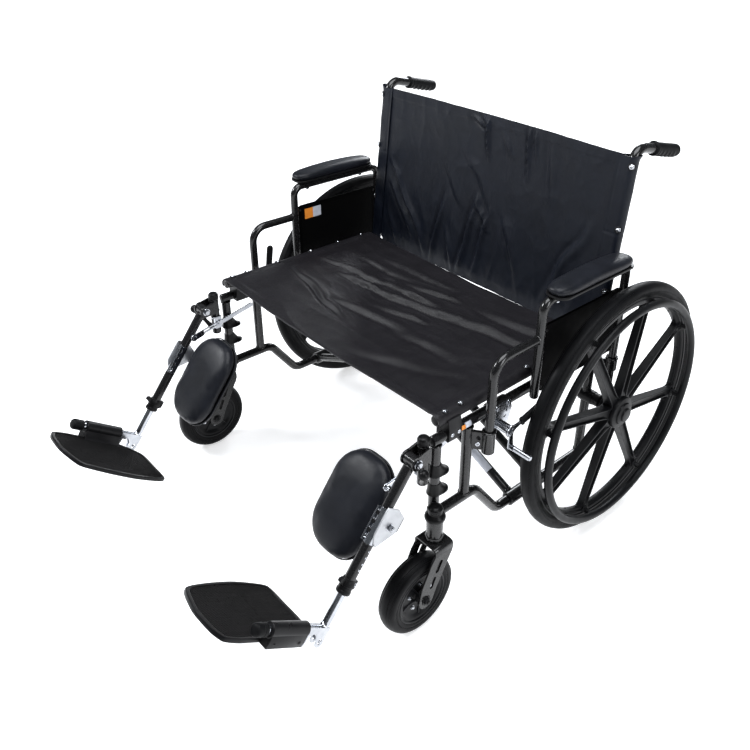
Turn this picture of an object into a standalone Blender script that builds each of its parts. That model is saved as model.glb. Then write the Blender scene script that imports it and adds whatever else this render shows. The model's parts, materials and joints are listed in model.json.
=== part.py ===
"""Bariatric folding wheelchair: tubular cross-brace frame, sling seat and back, removable
armrests, push-to-lock brakes, swing-away elevating leg rests. Metres, +Z up, chair faces -Y."""

from math import atan2, cos, hypot, pi, radians, sin

import bmesh
import bpy
from mathutils import Matrix, Vector

GAP = 0.0003

# The chair's own datum: x from the middle plane, y behind the rear axle, z above the floor.
AXLE_Y = 0.3318
WHEEL_RADIUS = 0.305
WHEEL_X = 0.449
HANDRIM_RADIUS = 0.2665
HANDRIM_X = 0.482
HANDRIM_TUBE = 0.0095
SPOKES = 8
SPOKE_START = radians(30.5)
WHEEL_STEPS = 48
CASTER_STEPS = 28

FRAME_X = 0.376
TUBE = 0.011
TOP_RAIL_Z = 0.425
TOP_RAIL_FRONT_Y = -0.5018
MID_RAIL_Z = 0.238
LOW_RAIL_Z = 0.138
FRONT_POST_Y = -0.490
MID_POST_Y = -0.403
SEAT_RAIL_X = 0.370
SEAT_RAIL_Z = 0.463
SEAT_FRONT_Y = -0.490
SEAT_REAR_Y = -0.026
BACK_RAKE = 0.105
RAKE_START_Z = 0.44
BACK_TOP_Z = 0.868
BACK_LOW_Z = 0.474

CASTER_RADIUS = 0.0889
CASTER_X = 0.400
CASTER_AXLE_Y = -0.554
STEM_Y = -0.508
STEM_RADIUS = 0.0175

ARM_X = 0.410
ARM_TUBE = 0.0095
ARM_FRONT_Y = -0.378
ARM_MID_Y = -0.247
ARM_REAR_Y = 0.030
ARM_JOIN_Z = 0.566
ARM_FRONT_END_Z = 0.362
ARM_TOP_Z = 0.645

# The leg rest's own axes: down the leg tube, and square to it towards the toes.
LEG_X = 0.378
LEG_TOP = Vector((0.0, -0.552, 0.411))
LEG_ANGLE = radians(37.8)
LEG_DOWN = Vector((0.0, -sin(LEG_ANGLE), -cos(LEG_ANGLE)))
LEG_TOES = Vector((0.0, -cos(LEG_ANGLE), sin(LEG_ANGLE)))
PIN_Y = -0.522
COLLAR_AT = 0.2646
FOOT_AT = 0.350
PLATE_AT = 0.376
RATCHET_X = 0.359
RATCHET_AT = 0.068

BRAKE_PIVOT = (-0.335, 0.392)
SHOE_PIVOT = (-0.318, 0.385)
LEVER_X = 0.425
LINK_X = 0.4165
SHOE_RADIUS = 0.006
SHOE_ANGLE = radians(6.7)
LEVER_LEAN = {"left": radians(76), "right": radians(8)}
SHOE_GAP = {"left": 0.0075, "right": 0.0008}

BRACE_Y = {"brace_a": (-0.240, -0.155), "brace_b": (-0.216, -0.179)}
BRACE_SLOPE = (SEAT_RAIL_Z - LOW_RAIL_Z) / (FRAME_X + SEAT_RAIL_X)
BRACE_CROSSING = Vector((0, AXLE_Y - 0.1975, LOW_RAIL_Z + FRAME_X * BRACE_SLOPE))
SLEEVE_BORE = 0.0116
SLEEVE_RADIUS = 0.0155

SIDES = {"left": 1, "right": -1}


def clear_scene():
    for old in list(bpy.data.objects):
        bpy.data.objects.remove(old)


def collection(name):
    made = bpy.data.collections.new(name)
    bpy.context.scene.collection.children.link(made)
    return made


def material(name, colour, roughness, metallic=0.0):
    made = bpy.data.materials.new(name)
    made.use_nodes = True
    shader = made.node_tree.nodes["Principled BSDF"]
    shader.inputs["Base Color"].default_value = (*colour, 1.0)
    shader.inputs["Roughness"].default_value = roughness
    shader.inputs["Metallic"].default_value = metallic
    return made


clear_scene()
PARTS = collection("wheelchair")
CUTTERS = collection("cutters")
PAINT = material("frame_paint", (0.03, 0.03, 0.032), 0.35, 0.5)
CHROME = material("chrome", (0.8, 0.8, 0.82), 0.12, 1.0)
PLASTIC = material("black_plastic", (0.012, 0.012, 0.013), 0.45)
RUBBER = material("rubber", (0.02, 0.02, 0.022), 0.75)
NYLON = material("nylon", (0.018, 0.018, 0.02), 0.7)
VINYL = material("vinyl", (0.015, 0.015, 0.016), 0.4)


# Placing: a point of the chair's datum on one side, and the frames that flat and turned
# pieces are drawn in.


def at(side, x, y, z):
    return Vector((SIDES[side] * x, y + AXLE_Y, z))


def on_leg(side, x, down, toes=0.0):
    spot = LEG_TOP + LEG_DOWN * down + LEG_TOES * toes
    return at(side, x, spot.y, spot.z)


def frame_of(origin, x_axis, y_axis):
    z_axis = x_axis.cross(y_axis)
    turn = Matrix((x_axis, y_axis, z_axis)).transposed().to_4x4()
    return Matrix.Translation(origin) @ turn


def side_plane(side, x):
    """Drawn in (y, z), thickness along X, centred at x."""
    return frame_of(at(side, x, 0, 0), Vector((0, 1, 0)), Vector((0, 0, 1)))


def leg_side_plane(side, x):
    """Drawn in (toes, down), thickness along X."""
    return frame_of(on_leg(side, x, 0), LEG_TOES, LEG_DOWN)


def across_leg(side, down):
    """Drawn in (x, toes) square to the leg tube, thickness along the leg."""
    origin = on_leg(side, 0, down)
    return frame_of(origin, Vector((1, 0, 0)), LEG_TOES)


def turned_along(origin, axis):
    return Matrix.Translation(origin) @ axis.to_track_quat("Z", "Y").to_matrix().to_4x4()


# Modelling tools.


def add_object(name, data, paint, matrix=None):
    made = bpy.data.objects.new(name, data)
    PARTS.objects.link(made)
    made.matrix_world = matrix or Matrix()
    data.materials.append(paint)
    return made


def rounded(points, radius, steps=5):
    """The polyline with each inner corner turned into an arc of about the given radius."""
    path = [points[0]]
    for before, corner, after in zip(points, points[1:], points[2:]):
        back = (before - corner).normalized()
        ahead = (after - corner).normalized()
        half = back.angle(ahead) / 2
        centre = corner + (back + ahead).normalized() * (radius / sin(half))
        reach = radius * cos(half) / sin(half)
        start = (corner + back * reach - centre).normalized()
        end = (corner + ahead * reach - centre).normalized()
        for step in range(steps + 1):
            path.append(centre + start.slerp(end, step / steps) * radius)
    path.append(points[-1])
    return path


def tube(name, points, radius, paint, sides_level=4):
    curve = bpy.data.curves.new(name, "CURVE")
    curve.dimensions = "3D"
    curve.bevel_depth = radius
    curve.bevel_resolution = sides_level
    curve.use_fill_caps = True
    spline = curve.splines.new("POLY")
    spline.points.add(len(points) - 1)
    for knot, point in zip(spline.points, points):
        knot.co = (*point, 1.0)
    return add_object(name, curve, paint)


def flat(name, outline, thickness, paint, matrix):
    curve = bpy.data.curves.new(name, "CURVE")
    curve.dimensions = "2D"
    curve.fill_mode = "BOTH"
    curve.extrude = thickness / 2
    spline = curve.splines.new("POLY")
    spline.points.add(len(outline) - 1)
    for knot, (across, along) in zip(spline.points, outline):
        knot.co = (across, along, 0.0, 1.0)
    spline.use_cyclic_u = True
    return add_object(name, curve, paint, matrix)


def solid(shape):
    """The curve object as a welded mesh object of the same name."""
    name = shape.name
    evaluated = shape.evaluated_get(bpy.context.evaluated_depsgraph_get())
    mesh = bpy.data.meshes.new_from_object(evaluated)
    work = bmesh.new()
    work.from_mesh(mesh)
    bmesh.ops.remove_doubles(work, verts=work.verts, dist=0.00001)
    bmesh.ops.recalc_face_normals(work, faces=work.faces)
    work.to_mesh(mesh)
    work.free()
    matrix = shape.matrix_world.copy()
    bpy.data.objects.remove(shape)
    made = bpy.data.objects.new(name, mesh)
    PARTS.objects.link(made)
    made.matrix_world = matrix
    return made


def box(name, size, paint, matrix):
    mesh = bpy.data.meshes.new(name)
    work = bmesh.new()
    bmesh.ops.create_cube(work, size=1.0)
    bmesh.ops.scale(work, vec=size, verts=work.verts)
    work.to_mesh(mesh)
    work.free()
    return add_object(name, mesh, paint, matrix)


def box_at(name, side, low, high, paint):
    """An upright box between two corners given in the chair's datum."""
    size = [b - a for a, b in zip(low, high)]
    middle = [(a + b) / 2 for a, b in zip(low, high)]
    return box(name, size, paint, Matrix.Translation(at(side, *middle)))


def rod(name, start, end, radius, paint, segments=12):
    mesh = bpy.data.meshes.new(name)
    axis = end - start
    work = bmesh.new()
    bmesh.ops.create_cone(
        work, cap_ends=True, segments=segments, radius1=radius, radius2=radius, depth=axis.length
    )
    work.to_mesh(mesh)
    work.free()
    return add_object(name, mesh, paint, turned_along((start + end) / 2, axis))


def ball(name, centre, radius, paint):
    mesh = bpy.data.meshes.new(name)
    work = bmesh.new()
    bmesh.ops.create_uvsphere(work, u_segments=12, v_segments=8, radius=radius)
    work.to_mesh(mesh)
    work.free()
    return add_object(name, mesh, paint, Matrix.Translation(centre))


def lathe(name, profile, steps, paint, matrix, ring=False):
    """A (radius, height) profile, from the top down its outer side, turned about local Z."""
    mesh = bpy.data.meshes.new(name)
    count = len(profile)
    edges = [(k, k + 1) for k in range(count - 1)]
    if ring:
        edges.append((count - 1, 0))
    mesh.from_pydata([(radius, 0, height) for radius, height in profile], edges, [])
    made = add_object(name, mesh, paint, matrix)
    screw = made.modifiers.new("turn", "SCREW")
    screw.steps = steps
    screw.render_steps = steps
    screw.use_merge_vertices = True
    screw.merge_threshold = 0.00001
    screw.use_smooth_shade = True
    return made


def as_tool(tool):
    PARTS.objects.unlink(tool)
    CUTTERS.objects.link(tool)
    tool.hide_render = True
    tool.display_type = "WIRE"
    return tool


def combine(target, tool, operation):
    modifier = target.modifiers.new(tool.name, "BOOLEAN")
    modifier.operation = operation
    modifier.object = as_tool(tool)


def join(target, *tools):
    for tool in tools:
        combine(target, tool, "UNION")
    return target


def cut(target, *tools):
    for tool in tools:
        combine(target, tool, "DIFFERENCE")
    return target


def bevel(target, width, segments=2):
    modifier = target.modifiers.new("edges", "BEVEL")
    modifier.width = width
    modifier.segments = segments
    modifier.limit_method = "ANGLE"
    return target


def arc(centre_u, centre_v, radius, start, end, steps):
    """Points on a circle from one angle to another, in degrees."""
    turns = [radians(start + (end - start) * k / steps) for k in range(steps + 1)]
    return [(centre_u + radius * cos(t), centre_v + radius * sin(t)) for t in turns]


def rounded_box_outline(low_u, low_v, high_u, high_v, radius, steps=4):
    return (
        arc(high_u - radius, high_v - radius, radius, 0, 90, steps)
        + arc(low_u + radius, high_v - radius, radius, 90, 180, steps)
        + arc(low_u + radius, low_v + radius, radius, 180, 270, steps)
        + arc(high_u - radius, low_v + radius, radius, 270, 360, steps)
    )


def body(name, origin, pieces):
    """An empty on the joint's axis that carries the pieces of one moving body."""
    pivot = bpy.data.objects.new(name, None)
    PARTS.objects.link(pivot)
    pivot.location = origin
    for piece in pieces:
        piece.parent = pivot
        piece.matrix_parent_inverse = Matrix.Translation(origin).inverted()
    return pivot


def cane_y(z):
    return max(0.0, z - RAKE_START_Z) * BACK_RAKE


# Side frame.


def seat_guide(side, name, y):
    half_width = 0.019
    half_length = 0.016
    low = (SEAT_RAIL_X - half_width + 0.003, y - half_length, TOP_RAIL_Z + 0.004)
    high = (SEAT_RAIL_X + half_width - 0.003, y + half_length, SEAT_RAIL_Z - 0.002)
    block = box_at(f"{side}_{name}", side, low, high, PLASTIC)
    groove = rod(
        f"{side}_{name}_groove",
        at(side, SEAT_RAIL_X, y - 0.05, SEAT_RAIL_Z),
        at(side, SEAT_RAIL_X, y + 0.05, SEAT_RAIL_Z),
        TUBE + 0.0007,
        PLASTIC,
    )
    return cut(block, groove)


def top_rail(side):
    rail = rod(
        f"{side}_top_rail",
        at(side, FRAME_X, TOP_RAIL_FRONT_Y, TOP_RAIL_Z),
        at(side, FRAME_X, -TUBE - GAP, TOP_RAIL_Z),
        TUBE,
        PAINT,
    )
    return join(rail, seat_guide(side, "guide_front", -0.452), seat_guide(side, "guide_rear", -0.070))


def lower_rail(side):
    route = [
        at(side, FRAME_X, FRONT_POST_Y + TUBE + GAP, MID_RAIL_Z),
        at(side, FRAME_X, -0.372, MID_RAIL_Z),
        at(side, FRAME_X, -0.297, LOW_RAIL_Z),
        at(side, FRAME_X, 0.130, LOW_RAIL_Z),
    ]
    return tube(f"{side}_lower_rail", rounded(route, 0.035), TUBE, PAINT)


def front_post(side):
    post = rod(
        f"{side}_front_post",
        at(side, FRAME_X, FRONT_POST_Y, 0.222),
        at(side, FRAME_X, FRONT_POST_Y, TOP_RAIL_Z - TUBE - GAP),
        TUBE,
        PAINT,
    )
    for number, bottom in enumerate((0.342, 0.296)):
        outline = [
            (FRONT_POST_Y, bottom),
            (-0.452, bottom),
            (-0.450, bottom + 0.006),
            (FRONT_POST_Y + 0.008, bottom + 0.038),
            (FRONT_POST_Y, bottom + 0.038),
        ]
        fin = flat(f"{side}_saddle_{number}", outline, 0.016, PLASTIC, side_plane(side, FRAME_X))
        join(post, solid(fin))
    return post


def arm_socket(side, name, arm_y, post_y, z, height):
    """A ring round the armrest's tube, on a strap that reaches to its frame post."""
    centre = at(side, ARM_X, arm_y, z)
    rise = Vector((0, 0, height / 2))
    ring = rod(f"{side}_{name}", centre - rise, centre + rise, ARM_TUBE + 0.004, PAINT)
    post = at(side, FRAME_X, post_y, z)
    reach = centre - post
    reach.normalize()
    start = post + reach * (TUBE - 0.002)
    end = centre - reach * (ARM_TUBE + 0.003)
    strap_frame = frame_of((start + end) / 2, reach, Vector((0, 0, 1)))
    strap_size = ((end - start).length, height - 0.003, 0.010)
    strap = box(f"{side}_{name}_strap", strap_size, PAINT, strap_frame)
    return join(ring, strap)


def socket_bore(side, name, arm_y):
    low = at(side, ARM_X, arm_y, 0.15)
    high = at(side, ARM_X, arm_y, 0.50)
    return rod(f"{side}_{name}_bore", low, high, ARM_TUBE + 0.0008, PAINT)


def mid_post(side):
    post = rod(
        f"{side}_mid_post",
        at(side, FRAME_X, MID_POST_Y, MID_RAIL_Z + TUBE + GAP),
        at(side, FRAME_X, MID_POST_Y, TOP_RAIL_Z - TUBE - GAP),
        TUBE,
        PAINT,
    )
    join(post, arm_socket(side, "socket_front", ARM_FRONT_Y, MID_POST_Y, 0.3835, 0.051))
    return cut(post, socket_bore(side, "socket_front", ARM_FRONT_Y))


def back_cane(side):
    route = [
        at(side, FRAME_X, 0, LOW_RAIL_Z + TUBE + GAP),
        at(side, FRAME_X, 0, RAKE_START_Z),
        at(side, FRAME_X, cane_y(0.882), 0.882),
        at(side, FRAME_X, 0.112, 0.868),
    ]
    cane = solid(tube(f"{side}_back_cane", rounded(route, 0.030, 6), TUBE, PAINT))
    cane.data.materials.append(PAINT)
    housing = rod(
        f"{side}_axle_housing",
        at(side, FRAME_X, 0, WHEEL_RADIUS),
        at(side, 0.4247, 0, WHEEL_RADIUS),
        0.015,
        PLASTIC,
    )
    join(cane, housing, arm_socket(side, "socket_rear", ARM_REAR_Y, 0.0, 0.395, 0.030))
    return cut(cane, socket_bore(side, "socket_rear", ARM_REAR_Y))


def push_grip(side):
    start = at(side, FRAME_X, 0.1124, 0.8679)
    end = at(side, FRAME_X, 0.2080, 0.8455)
    profile = [(0.0, 0.098), (0.011, 0.098), (0.0150, 0.094), (0.0150, 0.0), (0.0, 0.0)]
    return lathe(f"{side}_push_grip", profile, 16, RUBBER, turned_along(start, end - start))


def caster_housing(side):
    profile = [
        (0.0, 0.283),
        (0.011, 0.283),
        (STEM_RADIUS, 0.277),
        (STEM_RADIUS, 0.2062),
        (0.0, 0.2062),
    ]
    axis = Matrix.Translation(at(side, CASTER_X, STEM_Y, 0))
    return lathe(f"{side}_caster_housing", profile, 24, PAINT, axis)


# Wheels.


def axle_frame(side, x, y, z):
    """Local Z points outboard along the axle, and local X to the rear."""
    return frame_of(at(side, x, y, z), Vector((0, 1, 0)), Vector((0, 0, SIDES[side])))


def spoke_angle(number):
    """Measured from the rear towards the top."""
    return SPOKE_START + 2 * pi * number / SPOKES


def tyre_profile(radius, half_width, bead_radius, bead_half_width):
    crown = [
        (radius - 0.016 + 0.016 * cos(radians(t)), half_width * sin(radians(t)))
        for t in (60, 28, 0, -28, -60)
    ]
    return [(bead_radius, bead_half_width), *crown, (bead_radius, -bead_half_width)]


def rear_wheel(side):
    frame = axle_frame(side, WHEEL_X, 0, WHEEL_RADIUS)
    bead = 0.2745
    tyre = lathe(
        f"{side}_rear_tyre",
        tyre_profile(WHEEL_RADIUS, 0.0175, bead, 0.0125),
        WHEEL_STEPS,
        RUBBER,
        frame,
        ring=True,
    )
    lip = bead - GAP
    section = [(lip, 0.011), (lip, -0.011), (0.2600, -0.011), (0.2560, 0.0), (0.2600, 0.011)]
    rim = lathe(f"{side}_rear_rim", section, WHEEL_STEPS, PLASTIC, frame, ring=True)
    hub_section = [
        (0.0, 0.040),
        (0.020, 0.040),
        (0.022, 0.034),
        (0.036, 0.030),
        (0.038, 0.020),
        (0.038, -0.012),
        (0.022, -0.0235),
        (0.0, -0.0235),
    ]
    hub = lathe(f"{side}_hub", hub_section, 24, PLASTIC, frame)
    join(rim, hub, spoke_set(side, frame))
    hoop = handrim(side)
    return body(f"{side}_wheel_axis", at(side, WHEEL_X, 0, WHEEL_RADIUS), [tyre, rim, hoop])


def spoke_set(side, frame):
    """Flat tapering spokes, from inside the hub to inside the rim."""
    mesh = bpy.data.meshes.new(f"{side}_spokes")
    work = bmesh.new()
    for number in range(SPOKES):
        made = bmesh.ops.create_cube(work, size=1.0)["verts"]
        for corner in made:
            outer = corner.co.x > 0
            corner.co.x = 0.2625 if outer else 0.0330
            corner.co.y *= 0.020 if outer else 0.0230
            corner.co.z = (0.008 if outer else 0.011) * (1 if corner.co.z > 0 else -1)
            corner.co.z += 0.0 if outer else 0.006
        turn = Matrix.Rotation(SIDES[side] * spoke_angle(number), 4, "Z")
        bmesh.ops.transform(work, matrix=turn, verts=made)
    work.to_mesh(mesh)
    work.free()
    return add_object(f"{side}_spokes", mesh, PLASTIC, frame)


def handrim(side):
    frame = axle_frame(side, HANDRIM_X, 0, WHEEL_RADIUS)
    section = [
        (HANDRIM_RADIUS + HANDRIM_TUBE * cos(radians(t)), HANDRIM_TUBE * sin(radians(t)))
        for t in range(68, -292, -45)
    ]
    hoop = lathe(f"{side}_handrim", section, WHEEL_STEPS, PLASTIC, frame, ring=True)
    mesh = bpy.data.meshes.new(f"{side}_tabs")
    work = bmesh.new()
    inner_face = WHEEL_X + 0.011 + GAP - HANDRIM_X
    for number in range(SPOKES):
        made = bmesh.ops.create_cube(work, size=1.0)["verts"]
        for corner in made:
            corner.co.x = HANDRIM_RADIUS + (0.003 if corner.co.x > 0 else -0.0045)
            corner.co.y *= 0.020
            corner.co.z = -0.004 if corner.co.z > 0 else inner_face
        turn = Matrix.Rotation(SIDES[side] * spoke_angle(number), 4, "Z")
        bmesh.ops.transform(work, matrix=turn, verts=made)
    work.to_mesh(mesh)
    work.free()
    return join(hoop, add_object(f"{side}_tabs", mesh, PLASTIC, frame))


def caster(side):
    frame = axle_frame(side, CASTER_X, CASTER_AXLE_Y, CASTER_RADIUS)
    bead = 0.0600
    tyre_section = [
        (bead, 0.0190),
        (0.0760, 0.0215),
        (0.0845, 0.0170),
        (CASTER_RADIUS, 0.0060),
        (CASTER_RADIUS, -0.0060),
        (0.0845, -0.0170),
        (0.0760, -0.0215),
        (bead, -0.0190),
    ]
    tyre = lathe(f"{side}_caster_tyre", tyre_section, CASTER_STEPS, RUBBER, frame, ring=True)
    lip = bead - GAP
    rim_section = [
        (0.0, 0.0245),
        (0.015, 0.0245),
        (0.018, 0.013),
        (0.046, 0.011),
        (0.052, 0.018),
        (lip, 0.018),
        (lip, -0.018),
        (0.052, -0.018),
        (0.046, -0.011),
        (0.018, -0.013),
        (0.015, -0.0245),
        (0.0, -0.0245),
    ]
    rim = lathe(f"{side}_caster_rim", rim_section, CASTER_STEPS, PLASTIC, frame)
    body(f"{side}_caster_axis", at(side, CASTER_X, CASTER_AXLE_Y, CASTER_RADIUS), [tyre, rim])
    body(f"{side}_swivel_axis", at(side, CASTER_X, STEM_Y, 0.205), [caster_fork(side)])


def caster_fork(side):
    """A crown under the stem and two slotted legs that rake forward to the axle."""
    crown_low = (CASTER_X - 0.0305, -0.532, 0.1880)
    crown_high = (CASTER_X + 0.0305, -0.484, 0.2058)
    fork = box_at(f"{side}_caster_fork", side, crown_low, crown_high, PAINT)
    outline = [
        (-0.484, 0.2000),
        (-0.532, 0.2000),
        (-0.560, 0.1450),
        *arc(CASTER_AXLE_Y, CASTER_RADIUS, 0.019, 200, 350, 6),
        (-0.500, 0.1300),
    ]
    leg_shift = 0.0305 - 0.0021
    for number, shift in enumerate((-leg_shift, leg_shift)):
        plane = side_plane(side, CASTER_X + shift)
        leg = flat(f"{side}_fork_leg_{number}", outline, 0.0042, PAINT, plane)
        join(fork, solid(leg))
    for number, (y, z) in enumerate(((-0.521, 0.160), (-0.536, 0.126))):
        slot = box(
            f"{side}_fork_slot_{number}",
            (0.1, 0.011, 0.018),
            PAINT,
            Matrix.Translation(at(side, CASTER_X, y, z)) @ Matrix.Rotation(radians(-24), 4, "X"),
        )
        cut(fork, slot)
    return fork


# Armrests.


def armrest(side):
    front_route = [
        at(side, ARM_X, ARM_FRONT_Y, ARM_FRONT_END_Z),
        at(side, ARM_X, ARM_FRONT_Y, ARM_JOIN_Z),
        at(side, ARM_X, ARM_MID_Y - ARM_TUBE - GAP, ARM_JOIN_Z),
    ]
    front = tube(f"{side}_arm_front_tube", rounded(front_route, 0.038), ARM_TUBE, PAINT)
    main_route = [
        at(side, ARM_X, ARM_MID_Y, 0.430),
        at(side, ARM_X, ARM_MID_Y, ARM_TOP_Z),
        at(side, ARM_X, ARM_REAR_Y, ARM_TOP_Z),
        at(side, ARM_X, ARM_REAR_Y, 0.340),
    ]
    main = tube(f"{side}_arm_tube", rounded(main_route, 0.024), ARM_TUBE, PAINT)
    panel_outline = rounded_box_outline(
        ARM_MID_Y + ARM_TUBE + GAP, 0.436, ARM_REAR_Y - ARM_TUBE - GAP, 0.592, 0.012
    )
    panel = flat(f"{side}_arm_panel", panel_outline, 0.005, PLASTIC, side_plane(side, ARM_X))
    pad_low = (ARM_X - 0.020, -0.241, ARM_TOP_Z + ARM_TUBE + GAP)
    pad_high = (ARM_X + 0.040, 0.014, 0.683)
    pad = bevel(box_at(f"{side}_arm_pad", side, pad_low, pad_high, VINYL), 0.008, 3)
    origin = at(side, ARM_X, ARM_MID_Y, 0.430)
    return body(f"{side}_armrest_slide", origin, [front, main, panel, pad])


# Wheel locks.


def brake(side):
    plate_outline = [
        (-0.345, 0.380),
        (-0.300, 0.380),
        (-0.290, 0.418),
        (-0.296, 0.436),
        (-0.345, 0.436),
    ]
    plate_x = FRAME_X + TUBE + GAP + 0.002
    plate = flat(f"{side}_brake_bracket", plate_outline, 0.004, CHROME, side_plane(side, plate_x))
    bracket = solid(plate)
    bracket.data.materials.append(CHROME)
    pins = {"lever": (BRAKE_PIVOT, LEVER_X - 0.0038), "link": (SHOE_PIVOT, LINK_X - 0.0023)}
    for name, ((y, z), reach) in pins.items():
        start = at(side, plate_x, y, z)
        join(bracket, rod(f"{side}_{name}_pin", start, at(side, reach, y, z), 0.004, CHROME))
    body(f"{side}_brake_axis", at(side, LEVER_X, *BRAKE_PIVOT), [brake_lever(side)])
    body(f"{side}_shoe_axis", at(side, LINK_X, *SHOE_PIVOT), [brake_shoe(side)])
    return bracket


def brake_lever(side):
    """A flat lever on the pivot pin with a padded grip, leaning back from upright."""
    lean = LEVER_LEAN[side]
    direction = Vector((0, sin(lean), cos(lean)))
    pivot = Vector((0, *BRAKE_PIVOT))

    def strip(name, start, end, width, thickness, paint):
        middle = pivot + direction * (start + end) / 2
        frame = frame_of(at(side, LEVER_X, middle.y, middle.z), direction, Vector((1, 0, 0)))
        return box(name, (end - start, thickness, width), paint, frame)

    bar = strip(f"{side}_brake_lever", -0.012, 0.050, 0.014, 0.004, CHROME)
    grip = strip(f"{side}_brake_grip", 0.038, 0.109, 0.018, 0.007, RUBBER)
    return join(bar, grip)


def brake_shoe(side):
    """The bar that presses on the tyre, on its swinging link."""
    reach = WHEEL_RADIUS + SHOE_RADIUS + SHOE_GAP[side]
    y = -reach * cos(SHOE_ANGLE)
    z = WHEEL_RADIUS + reach * sin(SHOE_ANGLE)
    shoe = rod(
        f"{side}_brake_shoe",
        at(side, LINK_X - 0.001, y, z),
        at(side, 0.470, y, z),
        SHOE_RADIUS,
        CHROME,
    )
    pivot_y, pivot_z = SHOE_PIVOT
    along = Vector((0, y - pivot_y, z - pivot_z))
    length = along.length
    along.normalize()
    middle = at(side, LINK_X, (y + pivot_y) / 2, (z + pivot_z) / 2)
    frame = frame_of(middle, along, Vector((1, 0, 0)))
    link = box(f"{side}_brake_link", (length + 0.014, 0.004, 0.013), CHROME, frame)
    return join(shoe, link)


# Leg rests.


def leg_hanger(side):
    """The swing-away pin tube with its cap, the fork that holds the leg tube's hinge,
    the ratchet's guide block and the release knob."""
    profile = [
        (0.0, 0.449),
        (0.010, 0.449),
        (0.0125, 0.446),
        (0.0125, 0.434),
        (TUBE, 0.433),
        (TUBE, 0.338),
        (0.0, 0.338),
    ]
    pin = Matrix.Translation(at(side, FRAME_X, PIN_Y, 0))
    hanger = lathe(f"{side}_leg_hanger", profile, 16, PAINT, pin)
    outline = [
        (PIN_Y, 0.399),
        (PIN_Y, 0.431),
        (LEG_TOP.y, 0.426),
        *arc(LEG_TOP.y, LEG_TOP.z, 0.015, 100, 260, 5),
    ]
    for number, x in enumerate((LEG_X - 0.0150, LEG_X + 0.0150)):
        plate = flat(f"{side}_hanger_plate_{number}", outline, 0.004, PAINT, side_plane(side, x))
        join(hanger, solid(plate))
    web = box_at(
        f"{side}_hanger_web",
        side,
        (LEG_X - 0.0165, PIN_Y - 0.004, 0.402),
        (LEG_X + 0.0165, PIN_Y + 0.004, 0.428),
        PAINT,
    )
    guide = box_at(
        f"{side}_ratchet_guide",
        side,
        (RATCHET_X + 0.0022, PIN_Y - 0.009, 0.356),
        (FRAME_X, PIN_Y + 0.009, 0.388),
        CHROME,
    )
    knob_arm = rod(
        f"{side}_knob_arm",
        at(side, FRAME_X, PIN_Y, 0.372),
        at(side, 0.413, -0.555, 0.399),
        0.005,
        PLASTIC,
    )
    knob = ball(f"{side}_knob", at(side, 0.414, -0.556, 0.400), 0.0105, PLASTIC)
    return join(hanger, web, guide, knob_arm, knob)


def leg_tube(side):
    sleeve = rod(
        f"{side}_leg_tube",
        on_leg(side, LEG_X - 0.0127, 0),
        on_leg(side, LEG_X + 0.0127, 0),
        0.0125,
        PAINT,
        16,
    )
    column = rod(
        f"{side}_leg_column",
        on_leg(side, LEG_X, 0.004),
        on_leg(side, LEG_X, COLLAR_AT),
        TUBE,
        PAINT,
    )
    collar = rod(
        f"{side}_leg_collar",
        on_leg(side, LEG_X, COLLAR_AT - 0.020),
        on_leg(side, LEG_X, COLLAR_AT + 0.010),
        0.0145,
        PLASTIC,
    )
    bore = rod(
        f"{side}_leg_bore",
        on_leg(side, LEG_X, 0.120),
        on_leg(side, LEG_X, COLLAR_AT + 0.030),
        0.0088,
        PAINT,
    )
    return cut(join(sleeve, column, collar), bore)


def ratchet_bar(side):
    """The toothed bar from the leg tube back past the swing-away pin."""
    knuckle = LEG_TOP + LEG_DOWN * RATCHET_AT
    guide = Vector((0, PIN_Y, 0.372))
    along = (guide - knuckle).normalized()
    start = knuckle - along * 0.008
    end = knuckle + along * 0.172
    middle = (start + end) / 2
    frame = frame_of(at(side, RATCHET_X, middle.y, middle.z), along, Vector((1, 0, 0)))
    bar = box(f"{side}_ratchet_bar", ((end - start).length, 0.003, 0.012), CHROME, frame)
    boss = rod(
        f"{side}_ratchet_boss",
        at(side, RATCHET_X, knuckle.y, knuckle.z),
        at(side, LEG_X - TUBE - GAP, knuckle.y, knuckle.z),
        0.005,
        CHROME,
        12,
    )
    return join(bar, boss)


def foot_extension(side):
    """The sliding tube, its foot and the hinge pin that the footplate turns on."""
    post = rod(
        f"{side}_foot_extension",
        on_leg(side, LEG_X, 0.170),
        on_leg(side, LEG_X, FOOT_AT),
        0.0084,
        CHROME,
    )
    foot = rod(
        f"{side}_foot_knuckle",
        on_leg(side, LEG_X, FOOT_AT, -0.014),
        on_leg(side, LEG_X, FOOT_AT, 0.040),
        0.0125,
        CHROME,
    )
    pin = rod(
        f"{side}_foot_pin",
        on_leg(side, LEG_X, FOOT_AT, 0.030),
        on_leg(side, LEG_X, FOOT_AT, 0.165),
        0.0060,
        CHROME,
    )
    cap = rod(
        f"{side}_foot_cap",
        on_leg(side, LEG_X, FOOT_AT, 0.1500),
        on_leg(side, LEG_X, FOOT_AT, 0.1760),
        0.0125,
        RUBBER,
    )
    return join(post, foot, pin, cap)


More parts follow.
